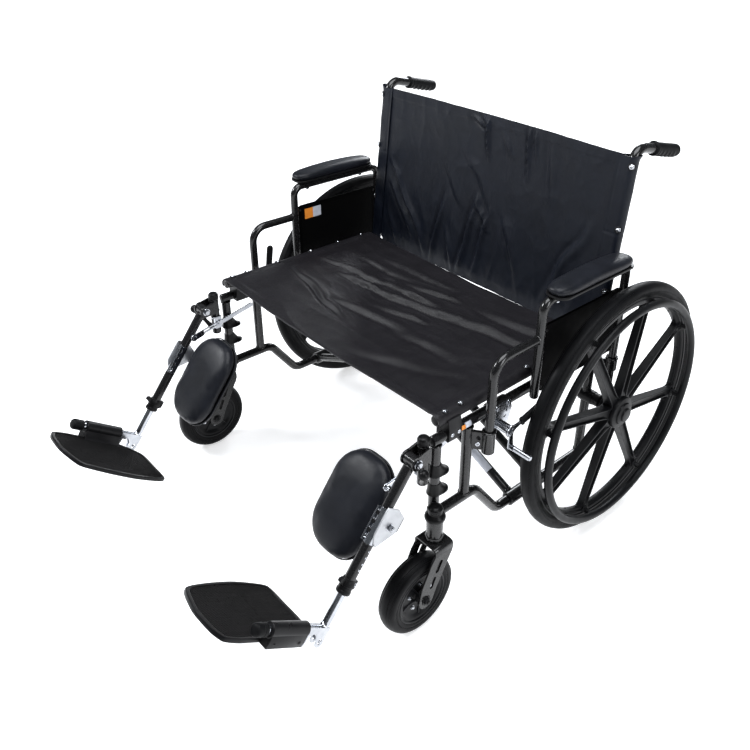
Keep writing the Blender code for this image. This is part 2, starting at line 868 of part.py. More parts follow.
def footplate(side):
    sign = SIDES[side]
    outline = [
        (0.212, 0.000),
        (0.202, 0.045),
        (0.200, 0.090),
        (0.207, 0.150),
        (0.224, 0.212),
        (0.285, 0.232),
        (0.340, 0.230),
        *arc(0.352, 0.212, 0.018, 75, 0, 4),
        (0.372, 0.160),
        (0.368, 0.052),
        (0.330, -0.002),
        (0.270, -0.0045),
    ]
    outline = [(sign * x, toes) for x, toes in outline]
    plate = solid(flat(f"{side}_footplate", outline, 0.009, PLASTIC, across_leg(side, PLATE_AT)))
    plate.data.materials.append(PLASTIC)
    sleeve = rod(
        f"{side}_plate_sleeve",
        on_leg(side, LEG_X, FOOT_AT, 0.0488),
        on_leg(side, LEG_X, FOOT_AT, 0.1416),
        0.0140,
        PLASTIC,
    )
    web = box(
        f"{side}_plate_web",
        (0.030, 0.088, 0.022),
        PLASTIC,
        across_leg(side, PLATE_AT - 0.012) @ Matrix.Translation((sign * 0.358, 0.0952, 0)),
    )
    bore = rod(
        f"{side}_plate_bore",
        on_leg(side, LEG_X, FOOT_AT, 0.0),
        on_leg(side, LEG_X, FOOT_AT, 0.25),
        0.0064,
        PLASTIC,
    )
    return cut(join(plate, web, sleeve), bore)


def calf_bracket(side):
    """A plate beside the leg tube that turns behind it and carries the pad."""
    outline = [
        (0.014, 0.092),
        (0.014, 0.150),
        (-0.004, 0.174),
        (-0.044, 0.138),
        (-0.044, 0.108),
        (-0.018, 0.092),
    ]
    cheek_x = LEG_X + TUBE + 0.0022
    cheek = solid(flat(f"{side}_calf_bracket", outline, 0.003, CHROME, leg_side_plane(side, cheek_x)))
    cheek.data.materials.append(CHROME)
    sign = SIDES[side]
    arm = box(
        f"{side}_calf_arm",
        (0.092, 0.003, 0.030),
        CHROME,
        across_leg(side, 0.123) @ Matrix.Translation((sign * (cheek_x - 0.0445), -0.0440, 0)),
    )
    return join(cheek, arm)


def calf_pad(side):
    outline = rounded_box_outline(-0.0745, -0.107, 0.0745, 0.107, 0.052, 5)
    centre = on_leg(side, 0.2815, 0.143, -0.024)
    facing = frame_of(centre, Vector((1, 0, 0)), -LEG_DOWN)
    return flat(f"{side}_calf_pad", outline, 0.036, VINYL, facing)


def leg_rest(side):
    body(f"{side}_swing_pin", at(side, FRAME_X, PIN_Y, 0.39), [leg_hanger(side)])
    body(f"{side}_leg_hinge", on_leg(side, LEG_X, 0), [leg_tube(side)])
    body(f"{side}_ratchet_hinge", on_leg(side, RATCHET_X, RATCHET_AT), [ratchet_bar(side)])
    body(f"{side}_foot_slide", on_leg(side, LEG_X, COLLAR_AT), [foot_extension(side)])
    body(f"{side}_plate_hinge", on_leg(side, LEG_X, FOOT_AT, 0.11), [footplate(side)])
    pieces = [calf_bracket(side), calf_pad(side)]
    body(f"{side}_calf_tilt", on_leg(side, LEG_X, 0.110), pieces)


# Folding cross brace, seat rails and slings.


def brace(name, low_side):
    """Two tubes from a sleeve round one lower rail up to the far seat rail."""
    high_side = "right" if low_side == "left" else "left"
    ys = BRACE_Y[name]
    sleeve_front = min(ys) - 0.016 if name == "brace_a" else min(ys) - 0.0115
    sleeve_rear = max(ys) + 0.016 if name == "brace_a" else max(ys) + 0.0115
    sleeve = rod(
        name,
        at(low_side, FRAME_X, sleeve_front, LOW_RAIL_Z),
        at(low_side, FRAME_X, sleeve_rear, LOW_RAIL_Z),
        SLEEVE_RADIUS,
        PAINT,
        16,
    )
    for number, y in enumerate(ys):
        low = at(low_side, FRAME_X, y, LOW_RAIL_Z)
        high = at(high_side, SEAT_RAIL_X, y, SEAT_RAIL_Z)
        along = (high - low).normalized()
        leg = rod(
            f"{name}_leg_{number}",
            low + along * 0.006,
            high - along * (TUBE + 0.0012),
            0.0105,
            PAINT,
        )
        join(sleeve, leg)
    bore = rod(
        f"{name}_bore",
        at(low_side, FRAME_X, sleeve_front - 0.02, LOW_RAIL_Z),
        at(low_side, FRAME_X, sleeve_rear + 0.02, LOW_RAIL_Z),
        SLEEVE_BORE,
        PAINT,
    )
    cut(sleeve, bore)
    if name == "brace_a":
        return join(sleeve, brace_bolt())
    hole_end = Vector((0, 0.05, 0))
    hole = rod("bolt_hole", BRACE_CROSSING - hole_end, BRACE_CROSSING + hole_end, 0.0044, PAINT, 12)
    return cut(sleeve, hole)


def seat_rail(side):
    front = at(side, SEAT_RAIL_X, SEAT_FRONT_Y, SEAT_RAIL_Z)
    rear = at(side, SEAT_RAIL_X, SEAT_REAR_Y, SEAT_RAIL_Z)
    return rod(f"{side}_seat_rail", front, rear, TUBE, PAINT)


def brace_bolt():
    """The pivot bolt where the two braces cross, with a head and a nut."""
    rear = (max(BRACE_Y["brace_a"]) - min(BRACE_Y["brace_a"])) / 2 + 0.009
    front = -rear
    profile = [
        (0.0, rear + 0.007),
        (0.008, rear + 0.007),
        (0.008, rear),
        (0.0040, rear),
        (0.0040, front),
        (0.008, front),
        (0.008, front - 0.007),
        (0.0, front - 0.007),
    ]
    return lathe("brace_bolt", profile, 12, CHROME, turned_along(BRACE_CROSSING, Vector((0, 1, 0))))


def sagging_sheet(name, half_width, free_half, sag, length, matrix):
    """A sheet laid over two rails and hung between them, drawn in (across, drop)."""
    thickness = 0.003
    steps = 11
    free = [free_half * (2 * k / steps - 1) for k in range(steps + 1)]
    across = [-half_width, *free, half_width]
    drops = [-sag * max(0.0, 1 - (u / free_half) ** 2) for u in across]
    upper = [(u, d + thickness) for u, d in zip(across, drops)]
    lower = [(u, d) for u, d in zip(reversed(across), reversed(drops))]
    return flat(name, upper + lower, length, NYLON, matrix)


def seat_sling():
    seat_bottom = SEAT_RAIL_Z + TUBE + GAP
    middle = Vector((0, (SEAT_FRONT_Y + SEAT_REAR_Y) / 2 + AXLE_Y, seat_bottom))
    frame = frame_of(middle, Vector((1, 0, 0)), Vector((0, 0, 1)))
    length = SEAT_REAR_Y - SEAT_FRONT_Y - 0.004
    return sagging_sheet("seat_sling", 0.383, 0.358, 0.009, length, frame)


def back_sling():
    rake = atan2(BACK_RAKE, 1.0)
    up = Vector((0, sin(rake), cos(rake)))
    out = Vector((0, -cos(rake), sin(rake)))
    low = Vector((0, cane_y(BACK_LOW_Z) + AXLE_Y, BACK_LOW_Z)) + out * (TUBE + GAP)
    height = hypot(BACK_TOP_Z - BACK_LOW_Z, cane_y(BACK_TOP_Z) - cane_y(BACK_LOW_Z))
    frame = frame_of(low + up * (height / 2), Vector((1, 0, 0)), out)
    return sagging_sheet("back_sling", 0.386, 0.364, 0.010, height, frame)


def cross_brace():
    lowest = {"brace_a": "left", "brace_b": "right"}
    for name, low_side in lowest.items():
        high_side = "right" if low_side == "left" else "left"
        pieces = [brace(name, low_side), seat_rail(high_side)]
        origin = at(low_side, FRAME_X, -0.1975, LOW_RAIL_Z)
        body(f"{name}_pivot", origin if name == "brace_a" else BRACE_CROSSING, pieces)


def side_frame(side):
    pieces = [
        top_rail(side),
        lower_rail(side),
        front_post(side),
        mid_post(side),
        back_cane(side),
        push_grip(side),
        caster_housing(side),
        brake(side),
    ]
    if side == "right":
        body("right_frame_pivot", at(side, FRAME_X, -0.2, LOW_RAIL_Z), pieces)


for side_name in SIDES:
    side_frame(side_name)
    rear_wheel(side_name)
    caster(side_name)
    armrest(side_name)
    leg_rest(side_name)
cross_brace()
seat_sling()
back_sling()
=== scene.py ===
import json
from math import cos, exp, pi, radians, sin

import bmesh
import bpy
from mathutils import Matrix, Vector, noise


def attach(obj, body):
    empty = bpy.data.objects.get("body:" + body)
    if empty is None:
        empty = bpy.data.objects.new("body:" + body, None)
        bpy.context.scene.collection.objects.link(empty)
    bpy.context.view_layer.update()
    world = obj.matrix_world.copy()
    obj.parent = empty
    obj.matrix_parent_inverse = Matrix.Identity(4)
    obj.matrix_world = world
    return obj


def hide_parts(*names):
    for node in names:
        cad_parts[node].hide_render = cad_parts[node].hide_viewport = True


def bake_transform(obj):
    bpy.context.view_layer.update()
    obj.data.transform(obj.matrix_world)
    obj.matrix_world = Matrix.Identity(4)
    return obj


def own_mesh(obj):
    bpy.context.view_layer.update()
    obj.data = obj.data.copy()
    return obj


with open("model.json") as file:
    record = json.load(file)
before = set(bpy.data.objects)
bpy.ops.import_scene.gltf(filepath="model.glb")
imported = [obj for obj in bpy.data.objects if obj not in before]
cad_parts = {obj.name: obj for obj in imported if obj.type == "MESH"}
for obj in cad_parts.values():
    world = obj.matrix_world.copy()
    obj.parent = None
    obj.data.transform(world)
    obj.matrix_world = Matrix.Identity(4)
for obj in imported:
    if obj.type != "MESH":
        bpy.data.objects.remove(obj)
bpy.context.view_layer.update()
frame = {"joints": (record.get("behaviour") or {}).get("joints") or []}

# The chair's datum: x from the middle plane, y behind the rear axle, z above the floor.
JOINTS = {joint["name"]: joint for joint in frame["joints"]}
AXLE_Y = JOINTS["left_wheel_spin"]["pos_m"][1]
# A shown tube is this much thinner than its solid, so that the two never share a surface.
SKIN = 0.0001
SIDES = {"left": 1, "right": -1}
FRAME_X = 0.376
TUBE = 0.011
TOP_RAIL_Z = 0.425
FRONT_POST_Y = -0.49
MID_POST_Y = -0.403
SEAT_RAIL_X = 0.37
SEAT_RAIL_Z = 0.463
RAKE_START_Z = 0.44
BACK_RAKE = 0.105
MID_RAIL_Z = 0.238
LOW_RAIL_Z = 0.138
POST_TOP_Z = 0.415
WHEEL_X = 0.449
WHEEL_RADIUS = 0.305
HANDRIM_X = 0.482
HANDRIM_RADIUS = 0.2665
HANDRIM_TUBE = 0.0095
SPOKES = 8
SPOKE_START = radians(30.5)
CASTER_X = 0.4
CASTER_AXLE_Y = -0.554
CASTER_RADIUS = 0.0889
STEM_Y = -0.508
ARM_X = 0.41
ARM_TUBE = 0.0095
ARM_FRONT_Y = -0.378
ARM_MID_Y = -0.247
ARM_REAR_Y = 0.03
ARM_JOIN_Z = 0.566
ARM_TOP_Z = 0.645
LEG_X = 0.378
LEG_TOP = Vector((0.0, -0.552, 0.411))
LEG_ANGLE = radians(37.8)
LEG_DOWN = Vector((0.0, -sin(LEG_ANGLE), -cos(LEG_ANGLE)))
LEG_TOES = Vector((0.0, -cos(LEG_ANGLE), sin(LEG_ANGLE)))
PIN_Y = -0.522
COLLAR_AT = 0.2646
FOOT_AT = 0.35
PLATE_AT = 0.376
RATCHET_X = 0.359
RATCHET_AT = 0.068
BRAKE_PIVOT = (-0.335, 0.392)
SHOE_PIVOT = (-0.318, 0.385)
LEVER_X = 0.425
LINK_X = 0.4165
LEVER_LEAN = {"left": radians(76), "right": radians(8)}
SHOE_GAP = {"left": 0.0075, "right": 0.0008}


# Placing.


def mm(*values):
    """Pairs of coordinates, given in millimetres."""
    return [(first / 1000, second / 1000) for first, second in zip(values[::2], values[1::2])]


def at(side, x, y, z):
    return Vector((SIDES[side] * x, y + AXLE_Y, z))


def on_leg(side, x, down, toes=0.0):
    spot = LEG_TOP + LEG_DOWN * down + LEG_TOES * toes
    return at(side, x, spot.y, spot.z)


def frame_of(origin, x_axis, y_axis):
    z_axis = x_axis.cross(y_axis)
    turn = Matrix((x_axis, y_axis, z_axis)).transposed().to_4x4()
    return Matrix.Translation(origin) @ turn


def side_plane(side, x):
    """Drawn in (y, z), thickness along X, centred at x."""
    return frame_of(at(side, x, 0, 0), Vector((0, 1, 0)), Vector((0, 0, 1)))


def leg_side_plane(side, x):
    """Drawn in (toes, down), thickness along X."""
    return frame_of(on_leg(side, x, 0), LEG_TOES, LEG_DOWN)


def across_leg(side, down):
    """Drawn in (x, toes) square to the leg tube, thickness along the leg."""
    return frame_of(on_leg(side, 0, down), Vector((1, 0, 0)), LEG_TOES)


def axle_frame(side, x, y, z):
    """Local Z points outboard along the axle, and local X to the rear."""
    return frame_of(at(side, x, y, z), Vector((0, 1, 0)), Vector((0, 0, SIDES[side])))


def turned_along(origin, axis):
    return Matrix.Translation(origin) @ axis.to_track_quat("Z", "Y").to_matrix().to_4x4()


def rounded(points, radius, steps=9):
    """The polyline with each inner corner turned into an arc of the given radius."""
    path = [points[0]]
    for before, corner, after in zip(points, points[1:], points[2:]):
        back = (before - corner).normalized()
        ahead = (after - corner).normalized()
        half = back.angle(ahead) / 2
        centre = corner + (back + ahead).normalized() * (radius / sin(half))
        reach = radius * cos(half) / sin(half)
        start = (corner + back * reach - centre).normalized()
        end = (corner + ahead * reach - centre).normalized()
        for step in range(steps + 1):
            path.append(centre + start.slerp(end, step / steps) * radius)
    path.append(points[-1])
    return path


def eased(value):
    """Zero up to 0, one from 1, and a smooth step between."""
    share = min(max(value, 0.0), 1.0)
    return share * share * (3 - 2 * share)


def signed_power(value, power):
    return abs(value) ** power * (1 if value > 0 else -1)


def between(low, high, steps):
    return [low + (high - low) * k / steps for k in range(steps + 1)]


def circle(steps):
    """The cosine and sine of each of a full turn's equal steps."""
    return [(cos(2 * pi * k / steps), sin(2 * pi * k / steps)) for k in range(steps)]


def arc(centre_u, centre_v, radius, start, end, steps):
    turns = [radians(start + (end - start) * k / steps) for k in range(steps + 1)]
    return [(centre_u + radius * cos(t), centre_v + radius * sin(t)) for t in turns]


def rounded_outline(low_u, low_v, high_u, high_v, radius, steps=8):
    return (
        arc(high_u - radius, high_v - radius, radius, 0, 90, steps)
        + arc(low_u + radius, high_v - radius, radius, 90, 180, steps)
        + arc(low_u + radius, low_v + radius, radius, 180, 270, steps)
        + arc(high_u - radius, low_v + radius, radius, 270, 360, steps)
    )


# Mesh parts: each is (corners, faces), and a piece is made of several.


def grid(rows, wrap=True, caps=True):
    """A surface through rows of points, closed round each row if it wraps."""
    count = len(rows[0])
    corners = [point for row in rows for point in row]
    faces = []
    around = count if wrap else count - 1
    for row in range(len(rows) - 1):
        low, high = row * count, (row + 1) * count
        for k in range(around):
            after = (k + 1) % count
            faces.append((low + k, low + after, high + after, high + k))
    if caps:
        faces.append(tuple(reversed(range(count))))
        last = (len(rows) - 1) * count
        faces.append(tuple(range(last, last + count)))
    return corners, faces


def merged(parts):
    corners, faces = [], []
    for part_corners, part_faces in parts:
        start = len(corners)
        corners.extend(part_corners)
        faces.extend(tuple(start + k for k in face) for face in part_faces)
    return corners, faces


def sweep(points, radius, sides=28, chamfer=0.0012):
    """A round bar along the points, with its end edges broken."""
    first = (points[1] - points[0]).normalized()
    last = (points[-1] - points[-2]).normalized()
    path = [points[0], points[0] + first * chamfer, *points[1:-1], points[-1] - last * chamfer, points[-1]]
    radii = [radius - chamfer, *[radius] * (len(path) - 2), radius - chamfer]
    tangents = []
    for k in range(len(path)):
        before, after = path[max(k - 1, 0)], path[min(k + 1, len(path) - 1)]
        tangents.append((after - before).normalized())
    tangents[0] = tangents[1] = first
    tangents[-1] = tangents[-2] = last
    across = first.orthogonal().normalized()
    rows = []
    for k, point in enumerate(path):
        if k:
            across = tangents[k - 1].rotation_difference(tangents[k]) @ across
        other = tangents[k].cross(across)
        rows.append(
            [
                point + (across * cos(2 * pi * s / sides) + other * sin(2 * pi * s / sides)) * radii[k]
                for s in range(sides)
            ]
        )
    return grid(rows)


def rod(start, end, radius, sides=28, chamfer=0.001):
    return sweep([start, end], radius, sides, chamfer)


def turned(profile, matrix, steps=48, ring=False):
    """A (radius, height) profile turned about the matrix's Z. A zero radius closes an end."""
    corners, faces, index = [], [], []
    for radius, height in profile:
        if radius < 1e-7:
            index.append([len(corners)] * steps)
            corners.append(matrix @ Vector((0, 0, height)))
            continue
        index.append([len(corners) + k for k in range(steps)])
        for k in range(steps):
            turn = 2 * pi * k / steps
            corners.append(matrix @ Vector((radius * cos(turn), radius * sin(turn), height)))
    pairs = list(zip(index, index[1:]))
    if ring:
        pairs.append((index[-1], index[0]))
    for low, high in pairs:
        for k in range(steps):
            after = (k + 1) % steps
            loop = []
            for corner in (low[k], low[after], high[after], high[k]):
                if corner not in loop:
                    loop.append(corner)
            if len(loop) > 2:
                faces.append(tuple(loop))
    return corners, faces


def block(size, matrix):
    corners = [
        matrix @ Vector((x * size[0] / 2, y * size[1] / 2, z * size[2] / 2))
        for x in (-1, 1)
        for y in (-1, 1)
        for z in (-1, 1)
    ]
    faces = [(0, 1, 3, 2), (4, 6, 7, 5), (0, 4, 5, 1), (2, 3, 7, 6), (0, 2, 6, 4), (1, 5, 7, 3)]
    return corners, faces


def block_at(side, low, high):
    size = [b - a for a, b in zip(low, high)]
    middle = [(a + b) / 2 for a, b in zip(low, high)]
    return block(size, Matrix.Translation(at(side, *middle)))


def plate(outline, thickness, matrix, holes=(), edge=0.0008):
    """A flat plate with rounded edges and holes, drawn in the matrix's XY plane."""
    curve = bpy.data.curves.new("plate", "CURVE")
    curve.dimensions = "2D"
    curve.fill_mode = "BOTH"
    curve.extrude = thickness / 2 - edge
    curve.bevel_depth = edge
    curve.offset = -edge
    curve.bevel_resolution = 1
    for loop in (outline, *holes):
        spline = curve.splines.new("POLY")
        spline.points.add(len(loop) - 1)
        for knot, (across, along) in zip(spline.points, loop):
            knot.co = (across, along, 0.0, 1.0)
        spline.use_cyclic_u = True
    shape = placed("plate", curve)
    mesh = evaluated_mesh(shape)
    part = (
        [matrix @ vertex.co for vertex in mesh.vertices],
        [tuple(polygon.vertices) for polygon in mesh.polygons],
    )
    bpy.data.objects.remove(shape)
    bpy.data.meshes.remove(mesh)
    return part


def screw_head(origin, axis, radius, steps=28):
    """A domed head with a cross recess, on a washer."""
    matrix = turned_along(origin, axis)
    washer = turned(
        [(0, 0.0011), (radius * 1.45, 0.0011), (radius * 1.6, 0.0007), (radius * 1.6, -0.0006), (0, -0.0006)],
        matrix,
        steps,
    )
    rows = []
    for share in (1.0, 0.98, 0.85, 0.62, 0.56, 0.34, 0.12):
        height = 0.001 + radius * 0.55 * (1 - share**2.2)
        row = []
        for k in range(steps):
            turn = 2 * pi * k / steps
            sunk = share < 0.6 and abs(sin(2 * turn)) < 0.62
            drop = radius * 0.28 if sunk else 0.0
            row.append(matrix @ Vector((radius * share * cos(turn), radius * share * sin(turn), height - drop)))
        rows.append(row)
    return merged([washer, grid(rows)])


def hex_head(origin, axis, radius, height):
    """A chamfered hexagon head on a washer."""
    matrix = turned_along(origin, axis)
    washer = turned(
        [(0, 0.0012), (radius * 1.25, 0.0012), (radius * 1.3, 0.0008), (radius * 1.3, -0.0004), (0, -0.0004)],
        matrix,
        24,
    )
    head = turned(
        [(0, height), (radius * 0.82, height), (radius, height - radius * 0.16), (radius, 0.001), (0, 0.001)],
        matrix,
        6,
    )
    return merged([washer, head])


def weld(origin, axis, radius, bead=0.0016):
    """The uneven fillet left round a tube where it's welded on."""
    matrix = turned_along(origin, axis)
    rows = []
    for k in range(56):
        turn = 2 * pi * k / 56
        swell = bead * (1 + 0.28 * noise.noise(Vector((cos(turn), sin(turn), origin.z * 40)) * 5))
        middle = matrix @ Vector((radius * cos(turn), radius * sin(turn), 0))
        outward = (matrix.to_3x3() @ Vector((cos(turn), sin(turn), 0))).normalized()
        along = (matrix.to_3x3() @ Vector((0, 0, 1))).normalized()
        rows.append([middle + (outward * u + along * v) * swell for u, v in circle(8)])
    rows.append(rows[0])
    return grid(rows, caps=False)


# Materials: every one is built from noise in the object's own space, in metres.


class Tree:
    """A small wrapper that adds and links shader nodes."""

    def __init__(self, name):
        self.material = bpy.data.materials.new(name)
        self.material.use_nodes = True
        self.tree = self.material.node_tree
        self.shader = self.tree.nodes["Principled BSDF"]
        self.space = self.add("ShaderNodeTexCoord").outputs["Object"]

    def add(self, kind, **settings):
        node = self.tree.nodes.new(kind)
        for key, value in settings.items():
            setattr(node, key, value)
        return node

    def link(self, source, target):
        self.tree.links.new(source, target)

    def noise(self, scale, detail=4.0, roughness=0.55, stretch=None):
        node = self.add("ShaderNodeTexNoise")
        node.inputs["Scale"].default_value = scale
        node.inputs["Detail"].default_value = detail
        node.inputs["Roughness"].default_value = roughness
        self.link(self.stretched(stretch), node.inputs["Vector"])
        return node.outputs["Fac"]

    def stretched(self, stretch):
        if stretch is None:
            return self.space
        mapping = self.add("ShaderNodeMapping")
        mapping.inputs["Scale"].default_value = stretch
        self.link(self.space, mapping.inputs["Vector"])
        return mapping.outputs["Vector"]

    def cells(self, scale, feature="F1"):
        node = self.add("ShaderNodeTexVoronoi", feature=feature)
        node.inputs["Scale"].default_value = scale
        self.link(self.space, node.inputs["Vector"])
        return node.outputs["Distance"]

    def waves(self, direction, wavelength, distortion=0.0):
        node = self.add("ShaderNodeTexWave", wave_type="BANDS", bands_direction=direction)
        node.inputs["Scale"].default_value = pi / (10 * wavelength)
        node.inputs["Distortion"].default_value = distortion
        self.link(self.space, node.inputs["Vector"])
        return node.outputs["Fac"]

    def ramp(self, factor, *stops):
        node = self.add("ShaderNodeValToRGB")
        ramp = node.color_ramp
        while len(ramp.elements) < len(stops):
            ramp.elements.new(0.5)
        for element, (position, colour) in zip(ramp.elements, stops):
            element.position = position
            element.color = (*colour, 1.0)
        self.link(factor, node.inputs["Fac"])
        return node.outputs["Color"]

    def spread(self, factor, low, high, from_low=0.3, from_high=0.7):
        node = self.add("ShaderNodeMapRange")
        for key, value in zip(("From Min", "From Max", "To Min", "To Max"), (from_low, from_high, low, high)):
            node.inputs[key].default_value = value
        self.link(factor, node.inputs["Value"])
        return node.outputs["Result"]

    def combined(self, operation, first, second):
        node = self.add("ShaderNodeMath", operation=operation)
        for value, socket in zip((first, second), node.inputs):
            if isinstance(value, (int, float)):
                socket.default_value = value
            else:
                self.link(value, socket)
        return node.outputs["Value"]

    def blended(self, factor, first, second):
        node = self.add("ShaderNodeMix", data_type="RGBA")
        self.link(factor, node.inputs["Factor"])
        for value, socket in ((first, node.inputs["A"]), (second, node.inputs["B"])):
            if isinstance(value, tuple):
                socket.default_value = (*value, 1.0)
            else:
                self.link(value, socket)
        return node.outputs["Result"]

    def bump(self, height, depth, strength=1.0, under=None):
        node = self.add("ShaderNodeBump")
        node.inputs["Distance"].default_value = depth
        node.inputs["Strength"].default_value = strength
        self.link(height, node.inputs["Height"])
        if under is not None:
            self.link(under, node.inputs["Normal"])
        return node.outputs["Normal"]

    def edges(self, low=0.52, high=0.58):
        """One along convex edges, where finish rubs off and where a painted highlight is laid on."""
        geometry = self.add("ShaderNodeNewGeometry")
        return self.spread(geometry.outputs["Pointiness"], 0.0, 1.0, low, high)

    def done(self, colour=None, roughness=None, normal=None, **values):
        for socket, source in (("Base Color", colour), ("Roughness", roughness), ("Normal", normal)):
            if source is not None:
                self.link(source, self.shader.inputs[socket])
        for key, value in values.items():
            self.shader.inputs[key.replace("_", " ")].default_value = value
        return self.material


def hammertone():
    """Black powder coat with silver flecks in its pebbled surface."""
    tree = Tree("hammertone_paint")
    cells = tree.cells(620.0)
    flecks = tree.noise(900.0, 2.0)
    fleck_colour = tree.ramp(
        flecks, (0.0, (0.002, 0.002, 0.0022)), (0.56, (0.0042, 0.0041, 0.0043)), (0.74, (0.042, 0.041, 0.043))
    )
    tone = tree.ramp(tree.noise(45.0), (0.3, (0.0026, 0.0026, 0.0028)), (0.7, (0.0062, 0.006, 0.0064)))
    colour = tree.blended(tree.spread(cells, 0.25, 0.9, 0.1, 0.7), tone, fleck_colour)
    # Convex edges are lightened: partly rubbed-off finish, partly a painted highlight.
    worn_and_highlit = tree.blended(tree.edges(0.56, 0.66), colour, (0.016, 0.0158, 0.0164))
    rough = tree.spread(tree.noise(160.0), 0.2, 0.34)
    gloss = dict(Metallic=0.02, Specular_IOR_Level=0.1, Coat_Weight=0.58, Coat_Roughness=0.06)
    pebbles = tree.bump(cells, 0.00022, 0.75)
    normal = tree.bump(tree.noise(70.0), 0.0002, 0.35, pebbles)
    return tree.done(worn_and_highlit, rough, normal, **gloss)


def gloss_paint():
    """Smooth gloss black on the cross brace and the caster forks."""
    tree = Tree("gloss_black_paint")
    colour = tree.ramp(tree.noise(60.0), (0.3, (0.004, 0.004, 0.004)), (0.7, (0.008, 0.0077, 0.0075)))
    # Convex edges are lightened: partly rubbed-off finish, partly a painted highlight.
    worn_and_highlit = tree.blended(tree.edges(), colour, (0.012, 0.012, 0.0125))
    rough = tree.spread(tree.noise(120.0), 0.18, 0.34)
    gloss = dict(Metallic=0.02, Specular_IOR_Level=0.1, Coat_Weight=0.45, Coat_Roughness=0.05)
    normal = tree.bump(tree.noise(240.0), 0.00006, 0.6)
    return tree.done(worn_and_highlit, rough, normal, **gloss)


def plated():
    tree = Tree("plated_steel")
    cloud = tree.noise(38.0, 6.0)
    tones = (0.34, 0.355, 0.385), (0.47, 0.485, 0.515), (0.57, 0.575, 0.59)
    colour = tree.ramp(cloud, *zip((0.25, 0.55, 0.8), tones))
    brushed = tree.noise(300.0, 3.0, 0.6, (1.0, 0.12, 1.0))
    rough = tree.spread(brushed, 0.1, 0.2)
    normal = tree.bump(brushed, 0.00001, 0.4)
    return tree.done(colour, rough, normal, Metallic=1.0)


def bracket_plate():
    """Zinc-plated sheet, flatter and paler than the chrome."""
    tree = Tree("zinc_plate")
    colour = tree.ramp(tree.noise(30.0, 5.0), (0.25, (0.38, 0.39, 0.41)), (0.75, (0.52, 0.53, 0.545)))
    rough = tree.spread(tree.noise(140.0, 4.0, 0.6, (1.0, 1.0, 0.15)), 0.34, 0.5)
    normal = tree.bump(tree.noise(220.0), 0.00005, 0.5)
    return tree.done(colour, rough, normal, Metallic=0.8)


def moulded(name, low, high, rough, edge, shine):
    tree = Tree(name)
    colour = tree.ramp(tree.noise(26.0, 5.0), (0.3, low), (0.7, high))
    # Convex edges take the edge colour: partly rubbed-off finish, partly a painted highlight.
    worn_and_highlit = tree.blended(tree.edges(0.53, 0.63), colour, edge)
    roughness = tree.spread(tree.noise(55.0, 5.0), *rough)
    fine = tree.bump(tree.noise(700.0, 3.0), 0.00006, 0.7)
    normal = tree.bump(tree.noise(30.0, 2.0), 0.00025, 0.25, fine)
    return tree.done(worn_and_highlit, roughness, normal, Specular_IOR_Level=shine)


def rubber(name, low, high, rough):
    tree = Tree(name)
    dust = tree.noise(18.0, 6.0)
    colour = tree.ramp(dust, (0.3, low), (0.7, high))
    roughness = tree.spread(tree.noise(60.0, 4.0), *rough)
    normal = tree.bump(tree.noise(520.0, 4.0), 0.0001, 0.7)
    return tree.done(colour, roughness, normal, Specular_IOR_Level=0.07)


def vinyl():
    """Soft black vinyl with a fine leather grain."""
    tree = Tree("pad_vinyl")
    colour = tree.ramp(tree.noise(22.0, 4.0), (0.3, (0.0046, 0.0052, 0.0074)), (0.7, (0.0078, 0.0088, 0.0122)))
    grain = tree.cells(750.0, "DISTANCE_TO_EDGE")
    creases = tree.spread(grain, 0.0, 1.0, 0.0, 0.25)
    roughness = tree.spread(tree.noise(70.0, 4.0), 0.34, 0.44)
    fine = tree.bump(creases, 0.00006, 0.45)
    normal = tree.bump(tree.noise(40.0, 2.0), 0.0004, 0.2, fine)
    return tree.done(colour, roughness, normal, Specular_IOR_Level=0.17, Sheen_Weight=0.01, Sheen_Roughness=0.4)


def nylon(name, dark, light, sheen):
    """Plain-weave coated nylon: crossed threads, faint streaks and a soft sheen."""
    tree = Tree(name)
    tree.space = tree.add("ShaderNodeUVMap", uv_map="cloth").outputs["UV"]
    streaks = tree.noise(55.0, 5.0, 0.6, (1.0, 0.12, 1.0))
    cross_streaks = tree.noise(60.0, 5.0, 0.6, (0.1, 1.0, 1.0))
    patches = tree.noise(9.0, 4.0)
    threads = [tree.combined("MULTIPLY", fibres, 0.3) for fibres in (streaks, cross_streaks)]
    factor = tree.combined("ADD", tree.combined("ADD", *threads), tree.combined("MULTIPLY", patches, 0.4))
    colour = tree.ramp(factor, (0.32, dark), (0.66, light))
    warp = tree.waves("X", 0.0011)
    weft = tree.waves("Y", 0.0011)
    weave = tree.combined("ADD", warp, weft)
    fine = tree.bump(weave, 0.00012, 0.55)
    normal = tree.bump(tree.noise(42.0, 5.0, 0.55), 0.0011, 0.35, fine)
    roughness = tree.spread(tree.noise(30.0, 4.0), 0.34, 0.47)
    soft = dict(Sheen_Weight=0.01, Sheen_Roughness=0.45, Sheen_Tint=(*sheen, 1.0))
    return tree.done(colour, roughness, normal, Specular_IOR_Level=0.2, **soft)


def ribbed_plastic():
    """The footplate's top: fine parallel ribs along its length."""
    tree = Tree("ribbed_plastic")
    colour = tree.ramp(tree.noise(30.0, 5.0), (0.3, (0.003, 0.0028, 0.0029)), (0.7, (0.0056, 0.0052, 0.0053)))
    streaks = tree.noise(420.0, 3.0, 0.6, (1.0, 0.03, 0.03))
    roughness = tree.spread(streaks, 0.42, 0.62)
    ribs = tree.bump(streaks, 0.0004, 0.6)
    return tree.done(colour, roughness, ribs, Specular_IOR_Level=0.07)


def label(name, low, high):
    """A plain printed label with no lettering, slightly soiled."""
    tree = Tree(name)
    colour = tree.ramp(tree.noise(80.0, 5.0), (0.2, low), (0.8, high))
    rough = tree.spread(tree.noise(90.0), 0.35, 0.5)
    return tree.done(colour, rough, tree.bump(tree.noise(500.0), 0.00003, 0.5))


